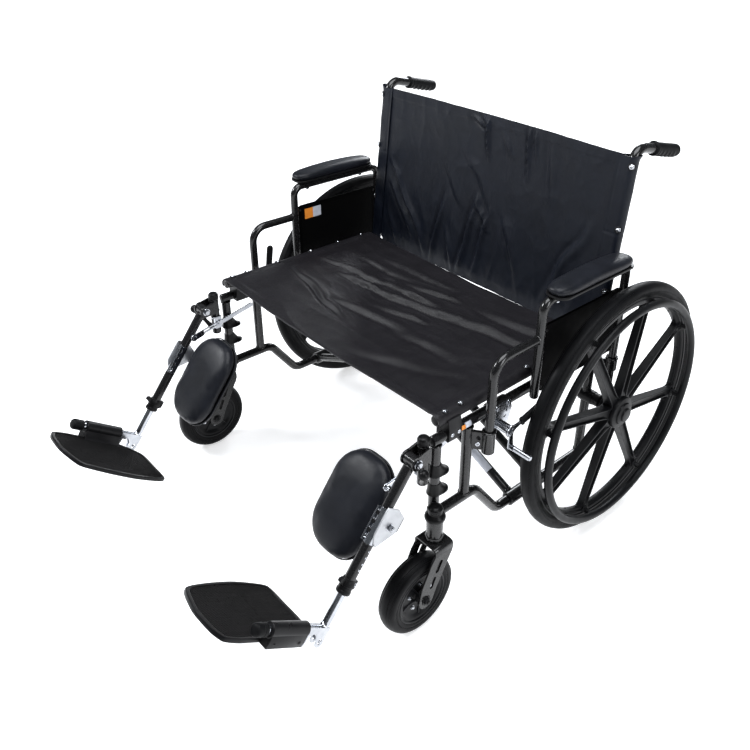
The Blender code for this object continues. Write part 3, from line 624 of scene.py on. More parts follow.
PAINT = hammertone()
GLOSS = gloss_paint()
CHROME = plated()
ZINC = bracket_plate()
# The fourth colour of each moulded finish lightens its convex edges: rubbed-off finish together with a painted
# highlight.
WHEEL = moulded(
    "wheel_composite", (0.0036, 0.0037, 0.0041), (0.0066, 0.0068, 0.0076),
    (0.3, 0.42), (0.014, 0.0145, 0.016), 0.12
)
PANEL = moulded(
    "panel_plastic", (0.0004, 0.0004, 0.0005), (0.0008, 0.0008, 0.0009),
    (0.5, 0.62), (0.004, 0.004, 0.004), 0.02
)
PLASTIC = moulded(
    "black_plastic", (0.0028, 0.0027, 0.0029), (0.0052, 0.0051, 0.0055),
    (0.26, 0.38), (0.012, 0.012, 0.013), 0.13
)
TYRE = rubber("tyre_rubber", (0.0028, 0.0029, 0.0032), (0.0052, 0.0053, 0.006), (0.4, 0.54))
CASTER_RUBBER = rubber("caster_rubber", (0.0022, 0.0022, 0.0024), (0.0042, 0.0042, 0.0047), (0.32, 0.46))
GRIP = rubber("grip_rubber", (0.004, 0.0041, 0.0045), (0.0074, 0.0076, 0.0082), (0.42, 0.56))
VINYL = vinyl()
BACK_NYLON = nylon("back_nylon", (0.0016, 0.0026, 0.0056), (0.0034, 0.0052, 0.0104), (0.55, 0.65, 0.9))
SEAT_NYLON = nylon("seat_nylon", (0.0046, 0.0042, 0.0052), (0.009, 0.0083, 0.01), (0.85, 0.8, 0.85))
RIBBED = ribbed_plastic()
LABEL = label("plain_label", (0.42, 0.44, 0.5), (0.56, 0.58, 0.64))
ORANGE = label("plain_orange_label", (0.72, 0.22, 0.02), (0.82, 0.29, 0.04))
SLOT = dict.fromkeys((PANEL, PLASTIC, RIBBED, LABEL, ORANGE), "panel_plastic")
SLOT |= dict.fromkeys((PAINT, GLOSS), "frame_paint") | dict.fromkeys((CHROME, ZINC), "plated_steel")
SLOT |= dict.fromkeys((TYRE, CASTER_RUBBER), "tyre_rubber")
SLOT |= {WHEEL: "wheel_plastic", GRIP: "grip_rubber", VINYL: "pad_vinyl"}


def placed(name, data):
    made = bpy.data.objects.new(name, data)
    bpy.context.scene.collection.objects.link(made)
    return made


def mesh_object(name, part, paint):
    mesh = bpy.data.meshes.new(name)
    mesh.from_pydata(part[0], [], part[1])
    mesh.materials.append(paint)
    return placed(name, mesh)


def evaluated_mesh(thing):
    evaluated = thing.evaluated_get(bpy.context.evaluated_depsgraph_get())
    return bpy.data.meshes.new_from_object(evaluated)


def piece(name, parts, paint, body, replaces=(), bevel=0.0, sharp=34):
    """One shown object from mesh parts, riding on a CAD body."""
    made = mesh_object(name, merged(parts), paint)
    mesh = made.data
    work = bmesh.new()
    work.from_mesh(mesh)
    bmesh.ops.recalc_face_normals(work, faces=work.faces)
    work.to_mesh(mesh)
    work.free()
    mesh.shade_smooth()
    mesh.set_sharp_from_angle(angle=radians(sharp))
    if bevel:
        modifier = made.modifiers.new("edges", "BEVEL")
        modifier.width = bevel
        modifier.segments = 2
        modifier.limit_method = "ANGLE"
        modifier.angle_limit = radians(40)
        modifier.harden_normals = True
    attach(made, body)
    if replaces:
        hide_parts(*replaces)
    return made


# Side frames.

X_AXIS = Vector((1, 0, 0))
Y_AXIS = Vector((0, 1, 0))
Z_AXIS = Vector((0, 0, 1))


def cane_y(z):
    return max(0.0, z - RAKE_START_Z) * BACK_RAKE


def outward(side):
    return Vector((SIDES[side], 0, 0))


def guide_outline():
    """A saddle that grips the top rail and cradles the seat rail, in (x, z)."""
    groove = arc(SEAT_RAIL_X, SEAT_RAIL_Z, 0.0122, -6, -174, 14)
    return [
        (SEAT_RAIL_X + 0.0165, 0.4617),
        *groove,
        (SEAT_RAIL_X - 0.0155, 0.4617),
        (SEAT_RAIL_X - 0.0155, 0.42),
        (SEAT_RAIL_X - 0.012, 0.413),
        (SEAT_RAIL_X + 0.017, 0.412),
        (SEAT_RAIL_X + 0.0205, 0.418),
        (SEAT_RAIL_X + 0.0205, 0.44),
    ]


def top_rails(side, body):
    front, rear = -0.501, -TUBE - 0.0003
    rail = rod(at(side, FRAME_X, front, TOP_RAIL_Z), at(side, FRAME_X, rear, TOP_RAIL_Z), TUBE - SKIN)
    welds = [weld(at(side, FRAME_X, rear - 0.001, TOP_RAIL_Z), Y_AXIS, TUBE)]
    piece(f"{side}_top_rail_tube", [rail, *welds], PAINT, body, [f"{side}_top_rail"])
    cap = turned(
        mm(0, 1, 6, 0.9, 9.2, 0.2, 10.4, -1, 10.4, -4, 0, -4),
        turned_along(at(side, FRAME_X, front - 0.0002, TOP_RAIL_Z), -Y_AXIS),
        32,
    )
    guides, bolts = [], []
    for y in (-0.452, -0.07):
        plane = frame_of(at(side, 0, y, 0), X_AXIS, Z_AXIS)
        outline = [(SIDES[side] * x, z) for x, z in guide_outline()]
        guides.append(plate(outline, 0.034, plane, edge=0.0016))
        for spot in (y - 0.009, y + 0.009):
            bolts.append(screw_head(at(side, SEAT_RAIL_X + 0.0205, spot, 0.429), outward(side), 0.0026, 20))
        bolts.append(hex_head(at(side, FRAME_X, y, 0.412), -Z_AXIS, 0.0045, 0.0055))
    piece(f"{side}_seat_rail_guides", guides, PLASTIC, body)
    piece(f"{side}_top_rail_cap", [cap], PLASTIC, body)
    piece(f"{side}_guide_bolts", bolts, CHROME, body)


def lower_rails(side, body):
    route = [
        at(side, FRAME_X, FRONT_POST_Y + TUBE, MID_RAIL_Z),
        at(side, FRAME_X, -0.372, MID_RAIL_Z),
        at(side, FRAME_X, -0.297, LOW_RAIL_Z),
        at(side, FRAME_X, 0.112, LOW_RAIL_Z),
    ]
    tube = sweep(rounded(route, 0.035), TUBE - SKIN)
    welds = [
        weld(at(side, FRAME_X, FRONT_POST_Y + TUBE + 0.001, MID_RAIL_Z), Y_AXIS, TUBE),
        weld(at(side, FRAME_X, MID_POST_Y, MID_RAIL_Z + TUBE - 0.001), Z_AXIS, TUBE),
        weld(at(side, FRAME_X, 0, LOW_RAIL_Z + TUBE - 0.001), Z_AXIS, TUBE),
    ]
    piece(f"{side}_lower_rail_tube", [tube, *welds], PAINT, body, [f"{side}_lower_rail"])
    profile = mm(
        0, 30, 8, 29.4, 11.8, 27.2, 13, 24, 12.8, 17, 13.4, 16.2, 13.4, 13.8, 12.8, 13, 12.8, 8.5,
        13.4, 7.7, 13.4, 5.3, 12.8, 4.5, 12.8, 0, 0, 0,
    )
    tip = turned(profile, turned_along(at(side, FRAME_X, 0.1, LOW_RAIL_Z), Y_AXIS), 36)
    piece(f"{side}_tipping_foot", [tip], GRIP, body)


def saddle(side, bottom):
    """A flared seat for the leg rest's hooks: a drop shape at its foot that narrows to a collar."""
    rows = []
    for share in (0.0, 0.02, 0.1, 0.16, 0.24, 0.36, 0.5, 0.66, 0.84, 0.97, 1.0):
        ease = 0.0 if share < 0.12 else ((share - 0.12) / 0.88) ** 0.55
        pull = 0.0008 if share in (0.0, 1.0) else 0.0
        row = []
        for k in range(48):
            turn = 2 * pi * k / 48
            low = 0.015 + 0.019 * max(0.0, cos(turn)) ** 2.6
            radius = low + (0.0122 - low) * ease - pull
            x, y = FRAME_X + radius * sin(turn), FRONT_POST_Y + radius * cos(turn)
            row.append(at(side, x, y, bottom + 0.027 * share))
        rows.append(row)
    return grid(rows)


def posts(side, body):
    foot = at(side, FRAME_X, FRONT_POST_Y, 0.222)
    front = rod(foot, at(side, FRAME_X, FRONT_POST_Y, POST_TOP_Z), TUBE - SKIN)
    plug = turned(mm(0, -1.2, 8, -0.8, 9.8, 0.4, 9.8, 4, 0, 4), Matrix.Translation(foot), 28)
    mid = rod(at(side, FRAME_X, MID_POST_Y, 0.249), at(side, FRAME_X, MID_POST_Y, POST_TOP_Z), TUBE - SKIN)
    joints = [at(side, FRAME_X, y, 0.4138) for y in (FRONT_POST_Y, MID_POST_Y)]
    front_weld, mid_weld = (weld(joint, Z_AXIS, TUBE) for joint in joints)
    lean = Matrix.Rotation(-SIDES[side] * radians(53), 4, "Z")
    gusset = block((0.0045, 0.03, 0.052), Matrix.Translation(at(side, 0.3885, -0.499, 0.244)) @ lean)
    piece(f"{side}_front_post_tube", [front, front_weld], PAINT, body, [f"{side}_front_post"])
    piece(f"{side}_stem_gusset", [gusset], PAINT, body, bevel=0.0008)
    piece(f"{side}_post_plug", [plug], PLASTIC, body)
    piece(f"{side}_hook_saddles", [saddle(side, 0.342), saddle(side, 0.296)], PLASTIC, body)
    socket_z, half = 0.3835, 0.0255
    rings = [
        arm_socket(side, ARM_FRONT_Y, socket_z, half),
        socket_strap(side, MID_POST_Y, ARM_FRONT_Y, socket_z, half * 1.6),
    ]
    piece(f"{side}_mid_post_tube", [mid, mid_weld, *rings], PAINT, body, [f"{side}_mid_post"], bevel=0.0006)
    spot = at(side, 0.4023, MID_POST_Y + 0.002, socket_z)
    piece(f"{side}_socket_screws", [screw_head(spot, Vector((SIDES[side], -0.62, 0)), 0.003, 20)], CHROME, body)


def arm_socket(side, y, z, half):
    """A sleeve with a rolled lip that the armrest's leg drops into."""
    bore = ARM_TUBE + 0.0007
    profile = [
        (bore, half),
        (bore + 0.0022, half + 0.001),
        (bore + 0.004, half + 0.0002),
        (bore + 0.0044, half - 0.002),
        (bore + 0.0033, half - 0.0042),
        (bore + 0.0031, -half + 0.001),
        (bore + 0.0024, -half),
        (bore, -half),
    ]
    return turned(profile, Matrix.Translation(at(side, ARM_X, y, z)), 40, ring=True)


def socket_strap(side, post_y, arm_y, z, height):
    post, ring = at(side, FRAME_X, post_y, z), at(side, ARM_X, arm_y, z)
    reach = (ring - post).normalized()
    start, end = post + reach * (TUBE - 0.003), ring - reach * (ARM_TUBE + 0.002)
    return block(((end - start).length, height, 0.009), frame_of((start + end) / 2, reach, Z_AXIS))


def back_canes(side, body):
    route = [
        at(side, FRAME_X, 0, 0.149),
        at(side, FRAME_X, 0, RAKE_START_Z),
        at(side, FRAME_X, cane_y(0.882), 0.882),
        at(side, FRAME_X, 0.116, 0.867),
    ]
    cane = sweep(rounded(route, 0.03, 12), TUBE - SKIN)
    housing = turned(
        mm(
            0, 48.7, 7.5, 48.7, 8.5, 48, 8.5, 42, 13.5, 41, 15, 39.5, 15, 24, 16.5, 22.5, 16.5, -12,
            14.5, -13.5, 0, -13.5,
        ),
        axle_frame(side, FRAME_X, 0, WHEEL_RADIUS),
        40,
    )
    sleeve = [arm_socket(side, ARM_REAR_Y, 0.395, 0.016), socket_strap(side, 0.0, ARM_REAR_Y, 0.395, 0.024)]
    bolt = hex_head(at(side, FRAME_X - 0.0135, 0, WHEEL_RADIUS), -outward(side), 0.0085, 0.006)
    piece(f"{side}_back_cane_tube", [cane], PAINT, body, [f"{side}_back_cane"])
    piece(f"{side}_rear_arm_socket", sleeve, PAINT, body, bevel=0.0006)
    piece(f"{side}_axle_housing", [housing], PLASTIC, body)
    piece(f"{side}_axle_bolt", [bolt], CHROME, body)


def push_grips(side, body):
    start = at(side, FRAME_X, 0.1124, 0.8679)
    end = at(side, FRAME_X, 0.208, 0.8455)
    along = (end - start).normalized()
    below = (-Z_AXIS + along * along.z).normalized()
    across = along.cross(below)
    stations = mm(-1, 11.8, 0, 14.2, 1.5, 15.8, 5, 15.8, 6.5, 14.5, 8, 13.8)
    stations += [(0.0085 + 0.0015 * k, 0.0136) for k in range(54)]
    stations += mm(90.5, 13.8, 94, 13.6, 96.5, 12.2, 97.8, 9.5, 98.2, 5)
    rows = []
    for distance, radius in stations:
        ridge = 0.0
        if 0.012 < distance < 0.086:
            ridge = 0.003 * (1 - abs(sin(pi * (distance - 0.012) / 0.0148)) ** 0.6)
        row = []
        for k in range(36):
            turn = 2 * pi * k / 36
            under = max(0.0, cos(turn)) ** 0.7
            rib = 0.00025 * (1 if k % 3 == 0 and 0.012 < distance < 0.088 and under == 0 else 0)
            reach = radius + ridge * under + rib
            row.append(start + along * distance + (below * cos(turn) + across * sin(turn)) * reach)
        rows.append(row)
    piece(f"{side}_push_grip_rubber", [grid(rows)], GRIP, body, [f"{side}_push_grip"])


def caster_housings(side, body):
    profile = mm(
        0, 289, 7.5, 288.8, 11, 287.8, 12.5, 286.2, 13.8, 285.6, 15, 284, 15.2, 279, 13.8, 277.5,
        14.2, 272, 17.5, 269, 20.5, 266, 21.2, 262.5, 20.5, 259, 17.6, 256.5, 0, 256.5,
    )
    spot = Matrix.Translation(at(side, CASTER_X, STEM_Y, 0))
    cap = turned(profile, spot, 48)
    barrel = turned(
        mm(
            0, 258, 17, 258, 17.2, 250, 16.8, 230, 16.6, 218, 17.6, 216.5, 18.2, 214, 18.2, 210.5,
            17, 209, 16.5, 206.6, 0, 206.6,
        ),
        spot,
        48,
    )
    piece(f"{side}_caster_barrel", [barrel], PAINT, body, [f"{side}_caster_housing"])
    piece(f"{side}_caster_bearing_cap", [cap], PLASTIC, body)


# Rear wheels.


def mirrored_profile(half):
    """A ring section from its outboard half, given as (radius, height) from the bead outwards."""
    return half + [(radius, -height) for radius, height in reversed(half) if height > 0]


def rear_wheels(side):
    body = f"{side}_wheel"
    frame_at = axle_frame(side, WHEEL_X, 0, WHEEL_RADIUS)
    tyre = mm(
        274.6, 12.6, 279, 15, 283.5, 16.6, 286.2, 17.1, 287.2, 16.6, 288.2, 17.3, 292, 17.5,
        295.8, 16.8, 299, 15.3, 301.2, 13.2, 301.8, 11.9, 301.1, 11.2, 302.2, 10.5, 303.7, 8,
        304.6, 4.5, 305, 0,
    )
    tread = turned(mirrored_profile(tyre), frame_at, 144, True)
    piece(f"{side}_rear_tyre_tread", [tread], TYRE, body, [f"{side}_rear_tyre"])
    rim = mm(
        274.2, 0, 274.2, 9.5, 275.2, 11.2, 275.2, 12.8, 273.8, 13.6, 270, 13.4, 268.6, 12.2, 267.8, 11,
        264, 10.6, 261.8, 9.8, 260.6, 8, 258.8, 7.2, 257, 6.2, 256.2, 4, 256, 0,
    )
    mirror = [(radius, -height) for radius, height in rim[-2:0:-1]]
    parts = [turned(rim + mirror, frame_at, 144, True)]
    parts += [spoke(frame_at, side, number) for number in range(SPOKES)]
    parts.append(hub(frame_at))
    for number in range(SPOKES * 4):
        turn = SPOKE_START + 2 * pi * (number + 0.5) / (SPOKES * 4)
        spot = frame_at @ Matrix.Rotation(SIDES[side] * turn, 4, "Z")
        inward = frame_of(spot @ Vector((0.2562, 0, 0)), spot.to_3x3() @ Y_AXIS, spot.to_3x3() @ Z_AXIS)
        parts.append(turned(mm(0, -2.2, 1.6, -2.2, 2.2, -1.4, 2.6, 2, 0, 2), inward, 14))
    piece(f"{side}_spoked_wheel", parts, WHEEL, body, [f"{side}_rear_rim"], sharp=28)
    handrims(side, body)


def spoke_turn(frame_at, side, number):
    return frame_at @ Matrix.Rotation(SIDES[side] * (SPOKE_START + 2 * pi * number / SPOKES), 4, "Z")


def spoke(frame_at, side, number):
    """A tapered spoke with raised edges and a sunk web on both faces."""
    stations = [
        (0.035, 0.015, 0.018, -0.008),
        (0.04, 0.0132, 0.0176, -0.0074),
        (0.05, 0.0118, 0.0168, -0.0066),
        (0.08, 0.0114, 0.0152, -0.0064),
        (0.14, 0.0108, 0.0128, -0.0068),
        (0.2, 0.0101, 0.0104, -0.0074),
        (0.235, 0.0098, 0.0092, -0.0078),
        (0.248, 0.0106, 0.0088, -0.008),
        (0.2545, 0.013, 0.0086, -0.008),
        (0.26, 0.0185, 0.0084, -0.008),
    ]
    turn = spoke_turn(frame_at, side, number)
    rows = []
    for radius, half, top, bottom in stations:
        rib, web = 0.0026, 0.0058 if 0.045 < radius < 0.245 else 0.0012
        across = (-half, -half + 0.0006, -half + rib, -half + rib + 0.0012)
        across += tuple(-edge for edge in reversed(across))
        face = zip(across, (top - sunk for sunk in (0.0006, 0, 0, web, web, 0, 0, 0.0006)))
        web = min(web, 0.004)
        back = zip(reversed(across), (bottom + sunk for sunk in (0.0006, 0, 0, web, web, 0, 0, 0.0006)))
        rows.append([turn @ Vector((radius, *spot)) for spot in (*face, *back)])
    return grid(rows)


def hub(frame_at):
    profile = mm(
        0, 39.8, 12, 39.6, 15.2, 39, 16.4, 37.8, 16.8, 35.2, 18, 34.4, 24.5, 33.6, 26.2, 32.8,
        26.8, 31.2, 27.2, 29.2, 28.5, 28.4, 35, 27.2, 37.2, 26.2, 38.2, 24.4, 38.4, 20, 37.8, 10,
        37.8, -6, 36.5, -9.5, 24, -12.5, 22.5, -14, 21.5, -22.5, 20.5, -23.5, 0, -23.5,
    )
    return turned(profile, frame_at, 72)


def handrims(side, body):
    frame_at = axle_frame(side, HANDRIM_X, 0, WHEEL_RADIUS)
    section = [(HANDRIM_RADIUS + HANDRIM_TUBE * 0.985 * u, HANDRIM_TUBE * 0.92 * v) for u, v in circle(18)]
    parts = [turned(section, frame_at, 144, True)]
    screws = []
    inner = WHEEL_X + 0.0105 - HANDRIM_X
    for number in range(SPOKES):
        turn = spoke_turn(frame_at, side, number)
        rows = []
        for height, half, low, high in (
            (inner, 0.009, 0.252, 0.27),
            (inner + 0.0022, 0.0085, 0.253, 0.2695),
            (inner + 0.004, 0.0062, 0.259, 0.269),
            (inner + 0.012, 0.0056, 0.2605, 0.269),
            (-0.006, 0.0056, 0.2608, 0.27),
            (-0.002, 0.0064, 0.26, 0.272),
        ):
            outline = rounded_outline(low, -half, high, half, 0.0022, 3)
            rows.append([turn @ Vector((x, y, height)) for x, y in outline])
        parts.append(grid(rows))
        spot = turn @ Vector((0.2556, 0, inner + 0.002))
        screws.append(screw_head(spot, turn.to_3x3() @ Z_AXIS, 0.0024, 16))
    piece(f"{side}_handrim_hoop", parts, WHEEL, body, [f"{side}_handrim"], sharp=40)
    piece(f"{side}_handrim_screws", screws, PLASTIC, body)


# Casters.


def casters(side):
    body = f"{side}_caster"
    frame_at = axle_frame(side, CASTER_X, CASTER_AXLE_Y, CASTER_RADIUS)
    tyre = mm(
        60.2, 18.6, 62.5, 20, 66.5, 20.8, 69, 20.6, 69.8, 19.9, 70.6, 20.7, 74.5, 21.4, 78.5, 20.8,
        81.5, 19.6, 83.6, 17.8, 84.3, 16.4, 83.6, 15.4, 85, 14.4, 86.6, 11.6, 87.2, 9.8, 86.4, 9,
        87.6, 8.2, 88.5, 5, 88.9, 0,
    )
    tread = turned(mirrored_profile(tyre), frame_at, 96, True)
    piece(f"{side}_caster_tread", [tread], CASTER_RUBBER, body, [f"{side}_caster_tyre"])
    dish = mm(
        0, 23.2, 10.5, 23.2, 12.5, 22.4, 13.5, 20.5, 15, 12.5, 17.2, 10.8, 38, 9.6, 43, 10.2,
        46.5, 12.5, 49.5, 16, 53, 17.2, 55.2, 17.2, 56, 18.2, 56.6, 19.6, 58.8, 20.2, 60.4, 19.6,
        60.6, 17,
    )
    rim = dish + [(radius, -height) for radius, height in reversed(dish)]
    parts = [turned(rim, frame_at, 96)]
    bolts = []
    for face in (1, -1):
        for number in range(5):
            turn = 2 * pi * (number + 0.2) / 5
            spot = frame_at @ Vector((0.029 * cos(turn), 0.029 * sin(turn), face * 0.0097))
            outward_axis = frame_at.to_3x3() @ Vector((0, 0, face))
            bolts.append(hex_head(spot, outward_axis, 0.0036, 0.004))
            rib = frame_at @ Matrix.Rotation(turn + pi / 5, 4, "Z")
            rows = []
            stations = (0.015, 0.0016, 0.015), (0.03, 0.0014, 0.0118), (0.047, 0.0016, 0.0136)
            for radius, half, height in stations:
                section = ((-half, 0.006), (half, 0.006), (half * 0.6, height), (-half * 0.6, height))
                rows.append([rib @ Vector((radius, across, face * level)) for across, level in section])
            parts.append(grid(rows))
    piece(f"{side}_caster_hub", parts, WHEEL, body, [f"{side}_caster_rim"])
    piece(f"{side}_caster_bolts", bolts, CHROME, body)
    forks(side)


def forks(side):
    """A bent crown plate with two slotted legs and the axle's nuts."""
    body = f"{side}_fork"
    outer, inner, thick = 0.0305, 0.0263, 0.0042
    corner = 0.0085
    outline = (
        [(outer, 0.188)]
        + arc(outer - corner, 0.2058 - corner, corner, 0, 90, 8)
        + arc(-outer + corner, 0.2058 - corner, corner, 90, 180, 8)
        + [(-outer, 0.188), (-inner, 0.188)]
        + arc(-inner + corner - thick, 0.2016 - corner + thick, corner - thick, 180, 90, 6)
        + arc(inner - corner + thick, 0.2016 - corner + thick, corner - thick, 90, 0, 6)
        + [(inner, 0.188)]
    )
    crown = plate(outline, 0.048, frame_of(at(side, CASTER_X, -0.508, 0), X_AXIS, Z_AXIS), edge=0.0005)
    leg_outline = [
        (-0.484, 0.19),
        (-0.532, 0.19),
        (-0.542, 0.176),
        (-0.554, 0.15),
        (-0.566, 0.125),
        *arc(CASTER_AXLE_Y, CASTER_RADIUS, 0.019, 165, 345, 16),
        (-0.527, 0.106),
        (-0.512, 0.133),
        (-0.496, 0.165),
        (-0.487, 0.18),
    ]
    legs, nuts = [], []
    for shift in (-1, 1):
        x = CASTER_X + shift * (outer - thick / 2)
        slots = [slot_loop(-0.5215, 0.16, 0.0105, 0.0046, 63), slot_loop(-0.537, 0.126, 0.01, 0.004, 66)]
        legs.append(plate(leg_outline, thick, side_plane(side, x), slots, 0.0006))
        axis = outward(side) * shift
        face = at(side, CASTER_X + shift * (outer + 0.0002), CASTER_AXLE_Y, CASTER_RADIUS)
        nuts.append(hex_head(face, axis, 0.0085, 0.0062))
        nuts.append(rod(face, face + axis * 0.0088, 0.004, 18, 0.0008))
        nuts.append(rod(face - axis * 0.008, face + axis * 0.0002, 0.0062, 20, 0.0005))
    stem = turned(
        mm(0, 207.5, 15, 207.5, 16.5, 206.8, 16.5, 205.8, 0, 205.8),
        Matrix.Translation(at(side, CASTER_X, STEM_Y, 0)),
        36,
    )
    piece(f"{side}_fork_crown", [crown, *legs, stem], GLOSS, body, [f"{side}_caster_fork"])
    piece(f"{side}_caster_axle_nuts", nuts, PLASTIC, body)


def slot_loop(y, z, half, radius, angle):
    """A slot with round ends, leaning at an angle above the horizontal."""
    loop = arc(half, 0, radius, -90, 90, 7) + arc(-half, 0, radius, 90, 270, 7)
    turn = radians(angle)
    return [(y + u * cos(turn) - v * sin(turn), z + u * sin(turn) + v * cos(turn)) for u, v in loop]


# Armrests.


def armrests(side):
    body = f"{side}_armrest"
    front_route = [
        at(side, ARM_X, ARM_FRONT_Y, 0.365),
        at(side, ARM_X, ARM_FRONT_Y, ARM_JOIN_Z),
        at(side, ARM_X, ARM_MID_Y - ARM_TUBE, ARM_JOIN_Z),
    ]
    main_route = [
        at(side, ARM_X, ARM_MID_Y, 0.43),
        at(side, ARM_X, ARM_MID_Y, ARM_TOP_Z),
        at(side, ARM_X, ARM_REAR_Y, ARM_TOP_Z),
        at(side, ARM_X, ARM_REAR_Y, 0.343),
    ]
    front = sweep(rounded(front_route, 0.038, 14), ARM_TUBE - SKIN)
    joint = weld(at(side, ARM_X, ARM_MID_Y - ARM_TUBE - 0.0006, ARM_JOIN_Z), Y_AXIS, ARM_TUBE - 0.0004)
    main = sweep(rounded(main_route, 0.024, 12), ARM_TUBE - SKIN)
    piece(f"{side}_arm_front_bend", [front, joint], PAINT, body, [f"{side}_arm_front_tube"])
    piece(f"{side}_arm_main_bend", [main], PAINT, body, [f"{side}_arm_tube"])
    tips = []
    for y, z in ((ARM_FRONT_Y, 0.365), (ARM_REAR_Y, 0.343), (ARM_MID_Y, 0.43)):
        tips.append(
            turned(
                mm(0, -3, 5, -2.8, 8, -1.6, 9.2, 0.6, 9.2, 3, 0, 3),
                Matrix.Translation(at(side, ARM_X, y, z)),
                28,
            )
        )
    piece(f"{side}_arm_tube_tips", tips, PLASTIC, body)
    side_panels(side, body)
    arm_pads(side, body)


def side_panels(side, body):
    """The skirt panel that keeps clothes off the wheel, screwed to the tubes at its corners."""
    low_y, high_y = ARM_MID_Y + ARM_TUBE + 0.0003, ARM_REAR_Y - ARM_TUBE - 0.0003
    plane = side_plane(side, ARM_X)
    outline = rounded_outline(low_y, 0.436, high_y, 0.592, 0.012)
    face = rounded_outline(low_y + 0.009, 0.445, high_y - 0.009, 0.583, 0.008)
    parts = [plate(outline, 0.005, plane, edge=0.001)]
    rim = [plate(outline, 0.0062, plane, [face], 0.0007)]
    piece(f"{side}_side_panel", parts + rim, PANEL, body, [f"{side}_arm_panel"])
    screws = []
    for y in (low_y + 0.0048, high_y - 0.0048):
        for z in (0.448, 0.58):
            for way in (1, -1):
                spot = at(side, ARM_X + way * 0.0031, y, z)
                screws.append(screw_head(spot, outward(side) * way, 0.002, 16))
    piece(f"{side}_side_panel_screws", screws, PLASTIC, body)


def far_label():
    """A plain two-colour sticker on the inner face of the far panel, with no lettering."""
    for name, paint, low, high in (("orange", ORANGE, -0.218, -0.192), ("pale", LABEL, -0.1918, -0.166)):
        outline = rounded_outline(low, 0.552, high, 0.58, 0.0012, 3)
        sticker = plate(outline, 0.0004, side_plane("right", ARM_X - 0.0028), edge=0.0001)
        piece(f"right_{name}_sticker", [sticker], paint, "right_armrest")


def arm_pad_rows(side, shrink):
    middle_x, middle_y = ARM_X + 0.01, -0.1135
    half_width, half_length = 0.03 - shrink, 0.1272 - shrink
    rows = []
    stations = 56
    for k in range(stations + 1):
        share = -cos(pi * k / stations)
        flank = 1 - min(abs(share), 0.9995) ** 7
        ends = max(flank, 0.0) ** 0.42
        crown = 0.0278 - shrink - 0.004 * share**2
        row = []
        for s in range(44):
            turn = 2 * pi * s / 44
            c, d = cos(turn), sin(turn)
            across = signed_power(c, 0.52)
            up = signed_power(d, 0.62 if d > 0 else 0.34)
            level = 0.011 + up * ((crown - 0.011) * ends**0.45 if up > 0 else 0.008 * ends**0.3)
            x, y = middle_x + across * half_width * ends, middle_y + share * half_length
            row.append(at(side, x, y, 0.6556 + level))
        rows.append(row)
    return rows


def arm_pads(side, body):
    skin = grid(arm_pad_rows(side, 0.0016))
    pad = piece(f"{side}_arm_pad_skin", [skin], VINYL, body, [f"{side}_arm_pad"], sharp=80)
    plump(pad, 0.0035)
    base_outline = rounded_outline(ARM_X - 0.017, -0.237, ARM_X + 0.037, 0.01, 0.022, 10)
    plane = frame_of(at(side, 0, 0, 0.6577), Vector((SIDES[side], 0, 0)), Vector((0, SIDES[side], 0)))
    board = plate([(x, y * SIDES[side]) for x, y in base_outline], 0.0052, plane, edge=0.0012)
    piece(f"{side}_arm_pad_board", [board], PLASTIC, body)
    bolts = [
        hex_head(at(side, ARM_X, y, ARM_TOP_Z - ARM_TUBE), -Z_AXIS, 0.0042, 0.0035) for y in (-0.205, -0.03)
    ]
    piece(f"{side}_arm_pad_bolts", bolts, CHROME, body)


def plump(pad, cap):
    """Swells a pad under inner pressure, so that its cover pulls in at its seam and rounds between."""
    bpy.context.view_layer.update()
    work = placed("swelling", pad.data.copy())
    remesh = work.modifiers.new("remesh", "REMESH")
    remesh.mode = "VOXEL"
    remesh.voxel_size = 0.0042
    remesh.use_smooth_shade = True
    fine = evaluated_mesh(work)
    work.modifiers.clear()
    work.data = fine
    start = [vertex.co.copy() for vertex in fine.vertices]
    cloth = work.modifiers.new("cloth", "CLOTH")
    settings = cloth.settings
    settings.quality = 6
    settings.mass = 0.25
    settings.tension_stiffness = 25
    settings.compression_stiffness = 25
    settings.bending_stiffness = 4
    settings.use_pressure = True
    settings.uniform_pressure_force = 4
    settings.effector_weights.gravity = 0
    cloth.collision_settings.use_collision = False
    scene = bpy.context.scene
    for step in range(1, 21):
        scene.frame_set(step)
    evaluated = work.evaluated_get(bpy.context.evaluated_depsgraph_get())
    swollen = [vertex.co.copy() for vertex in evaluated.data.vertices]
    scene.frame_set(1)
    work.modifiers.clear()
    for vertex, before, after in zip(fine.vertices, start, swollen):
        shift = after - before
        if shift.length > cap:
            shift = shift.normalized() * cap
        vertex.co = before + shift
    smooth = work.modifiers.new("smooth", "CORRECTIVE_SMOOTH")
    smooth.factor = 0.6
    smooth.iterations = 6
    smooth.use_only_smooth = True
    refine = work.modifiers.new("refine", "SUBSURF")
    refine.levels = refine.render_levels = 1
    final = evaluated_mesh(work)
    final.materials.clear()
    final.materials.append(VINYL)
    final.shade_smooth()
    bpy.data.objects.remove(work)
    pad.data = final


# Wheel locks.


def brakes(side):
    brake_brackets(side, f"{side}_frame")
    brake_levers(side, f"{side}_brake_lever")
    brake_shoes(side, f"{side}_brake_shoe")


